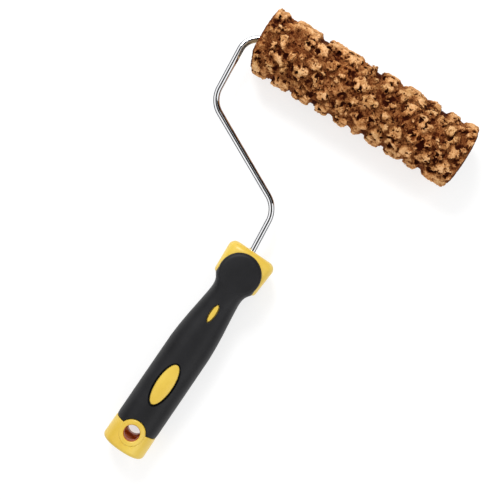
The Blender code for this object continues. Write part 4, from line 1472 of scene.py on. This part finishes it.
# %% Caps and bushes
for side, profile, start, length in (
    ("inner", inner_cap_profile, -75, 7.5),
    ("outer", outer_cap_profile, 72, 11),
):
    name = side + "_cap"
    ribbed = [("UNION", ribs(side + "_ribs", start, length, CAP_GREY))]
    cap_mesh = combine(name, turned(name, rounded(profile, 0.35)), ribbed)
    place(name, cap_mesh, TOOL, CAP_GREY, "cage", [side + "_end_cap"])
for side, profile in (("inner", inner_bush_profile), ("outer", outer_bush_profile)):
    name = side + "_bush"
    bush_mesh = turned(name, rounded(profile, 0.3), sides=64)
    place(name, bush_mesh, TOOL, NYLON, "cage", [side + "_bearing_bush"])

# %% [markdown]
# ## The spring wires and the spider
#
# Five wires bow outwards between the caps and grip the tube. Each is the same sweep as the rod, run
# once along one bowed path and copied round the axis. The spider in the middle stops them
# from folding in, and light-weighting holes save plastic.

# %% Wires
CAGE_WIRES, WIRE_RADIUS, WIRE_ROOT, WIRE_BOW = 5, 1.0, 15.8, 17.7
BOW_FULLNESS = 0.6
WIRE_START, WIRE_END = INNER_CAP[1], OUTER_CAP[0]
WIRE_SOCKET = 4.7


def wire_radius(x):
    """How far a wire lies from the spin axis."""
    share = min(max((x - WIRE_START) / (WIRE_END - WIRE_START), 0), 1)
    return WIRE_ROOT + math.sin(math.pi * share) ** BOW_FULLNESS * (WIRE_BOW - WIRE_ROOT)


wire_points = [
    (WIRE_START - WIRE_SOCKET, 0, WIRE_ROOT),
    *((x, 0, wire_radius(x)) for x in np.linspace(WIRE_START, WIRE_END, 61)),
    (WIRE_END + WIRE_SOCKET, 0, WIRE_ROOT),
]
wires_mesh = swept("cage_wires", wire_points, WIRE_RADIUS, STEEL, sides=20, copies=CAGE_WIRES)
wire_nodes = [f"cage_wire_{i + 1}" for i in range(CAGE_WIRES)]
place("cage_wires", wires_mesh, TOOL, STEEL, "cage", wire_nodes)

# %% Spider
SPIDER_MIDDLE = (WIRE_START + WIRE_END) / 2
SPIDER_RADIUS, SPIDER_HUB, SPIDER_HALF, HUB_HALF = 17.0, 7.0, 2.0, 5.0
RIM_STEP = 0.8
WIRE_NOTCH_RADIUS, HOLE_CIRCLE, HOLE_RADIUS = 1.25, 10.8, 2.4


def spider_cuts():
    """A notch for each wire, and a hole between each two."""
    cuts = []
    m = SPIDER_MIDDLE
    notch = (0, wire_radius(m), WIRE_NOTCH_RADIUS)
    hole = (math.pi / CAGE_WIRES, HOLE_CIRCLE, HOLE_RADIUS)
    for i in range(CAGE_WIRES):
        for spread, radius, size in (notch, hole):
            angle = 2 * math.pi * i / CAGE_WIRES + spread
            pin = [(0.01, m - 9), (size, m - 8.9), (size, m + 8.9), (0.01, m + 9)]
            pin = turned("hole", pin, 32, closed=False)
            aside = (0, -radius * MM * math.sin(angle), radius * MM * math.cos(angle))
            pin.transform(Matrix.Translation(aside))
            cuts.append(("DIFFERENCE", pin))
    return cuts


# One half of the profile as (radius, distance from the middle), and then its mirror.
half_profile = [
    (BORE, HUB_HALF), (SPIDER_HUB, HUB_HALF), (SPIDER_HUB + 0.2, SPIDER_HALF - RIM_STEP),
    (14.2, SPIDER_HALF - RIM_STEP), (14.6, SPIDER_HALF), (SPIDER_RADIUS, SPIDER_HALF),
]
spider_profile = [(radius, SPIDER_MIDDLE + off) for radius, off in half_profile[1:]]
spider_profile += [(radius, SPIDER_MIDDLE - off) for radius, off in reversed(half_profile)]
spider_profile.append((BORE, SPIDER_MIDDLE + HUB_HALF))
spider_mesh = combine("spider", turned("spider", rounded(spider_profile, 0.3)), spider_cuts())
place("spider", spider_mesh, TOOL, CAP_GREY, "cage", ["cage_spider"])

# %% [markdown]
# ## What holds the cage on the rod
#
# A collar swaged on the rod and a push nut at its free end keep the cage in place, with a washer
# against each bush. The push nut is pressed from spring steel: a cup with teeth that bite the rod.

# %% Collar and washers
COLLAR_BORE = BORE - 0.25
collar_profile = [
    (5.6, -79.7), (5.6, -80.6), (5.1, -80.9), (5.1, -81.5), (5.6, -81.8), (5.6, -82.7),
    (COLLAR_BORE, -82.7), (COLLAR_BORE, -79.7),
]
collar_mesh = turned("stop_collar", rounded(collar_profile, 0.3), 64)
place("stop_collar", collar_mesh, TOOL, STEEL, "handle", ["inner_stop_collar"])
for name, start in (("inner_washer", -79.4), ("outer_washer", 80.6)):
    profile = [(7.0, start + 1), (7.0, start), (BORE, start), (BORE, start + 1)]
    washer_mesh = turned(name, rounded(profile, 0.2), 64)
    place(name, washer_mesh, TOOL, STEEL, "handle", [name])

# %% Push nut
NUT_X, NUT_RADIUS, NUT_TEETH, TOOTH_SLOT = 81.9, 7.2, 6, 1.3


def push_nut_mesh(sides=120):
    """A turned cup whose inner edge steps in and out to leave teeth."""
    end = NUT_X + 1.4
    angles = ring_angles(sides)
    slot = np.clip(np.cos(angles * NUT_TEETH) * 4 - 2.4, 0, 1)
    # Each row is a radius, how deep the slots between the teeth cut there, and x.
    rows = [
        (NUT_RADIUS, 0, end - 0.2), (NUT_RADIUS, 0, NUT_X), (NUT_RADIUS - 0.5, 0, NUT_X),
        (NUT_RADIUS - 0.6, 0, NUT_X + 0.7), (5.2, 0, NUT_X + 0.75), (BORE - 0.2, TOOTH_SLOT, NUT_X + 0.35),
        (BORE - 0.2, TOOTH_SLOT, NUT_X + 0.75), (5.1, 0, NUT_X + 1.15), (NUT_RADIUS - 0.8, 0, end - 0.05),
        (NUT_RADIUS - 0.3, 0, end),
    ]
    rings = []
    for radius, cut_in, x in rows:
        size = radius + cut_in * slot
        rings.append(ring(x, size * np.cos(angles), size * np.sin(angles)))
    return skin_rings("push_nut", np.array(rings) * MM, loop=True)


place("push_nut", push_nut_mesh(), TOOL, STEEL, "handle", ["push_nut"])
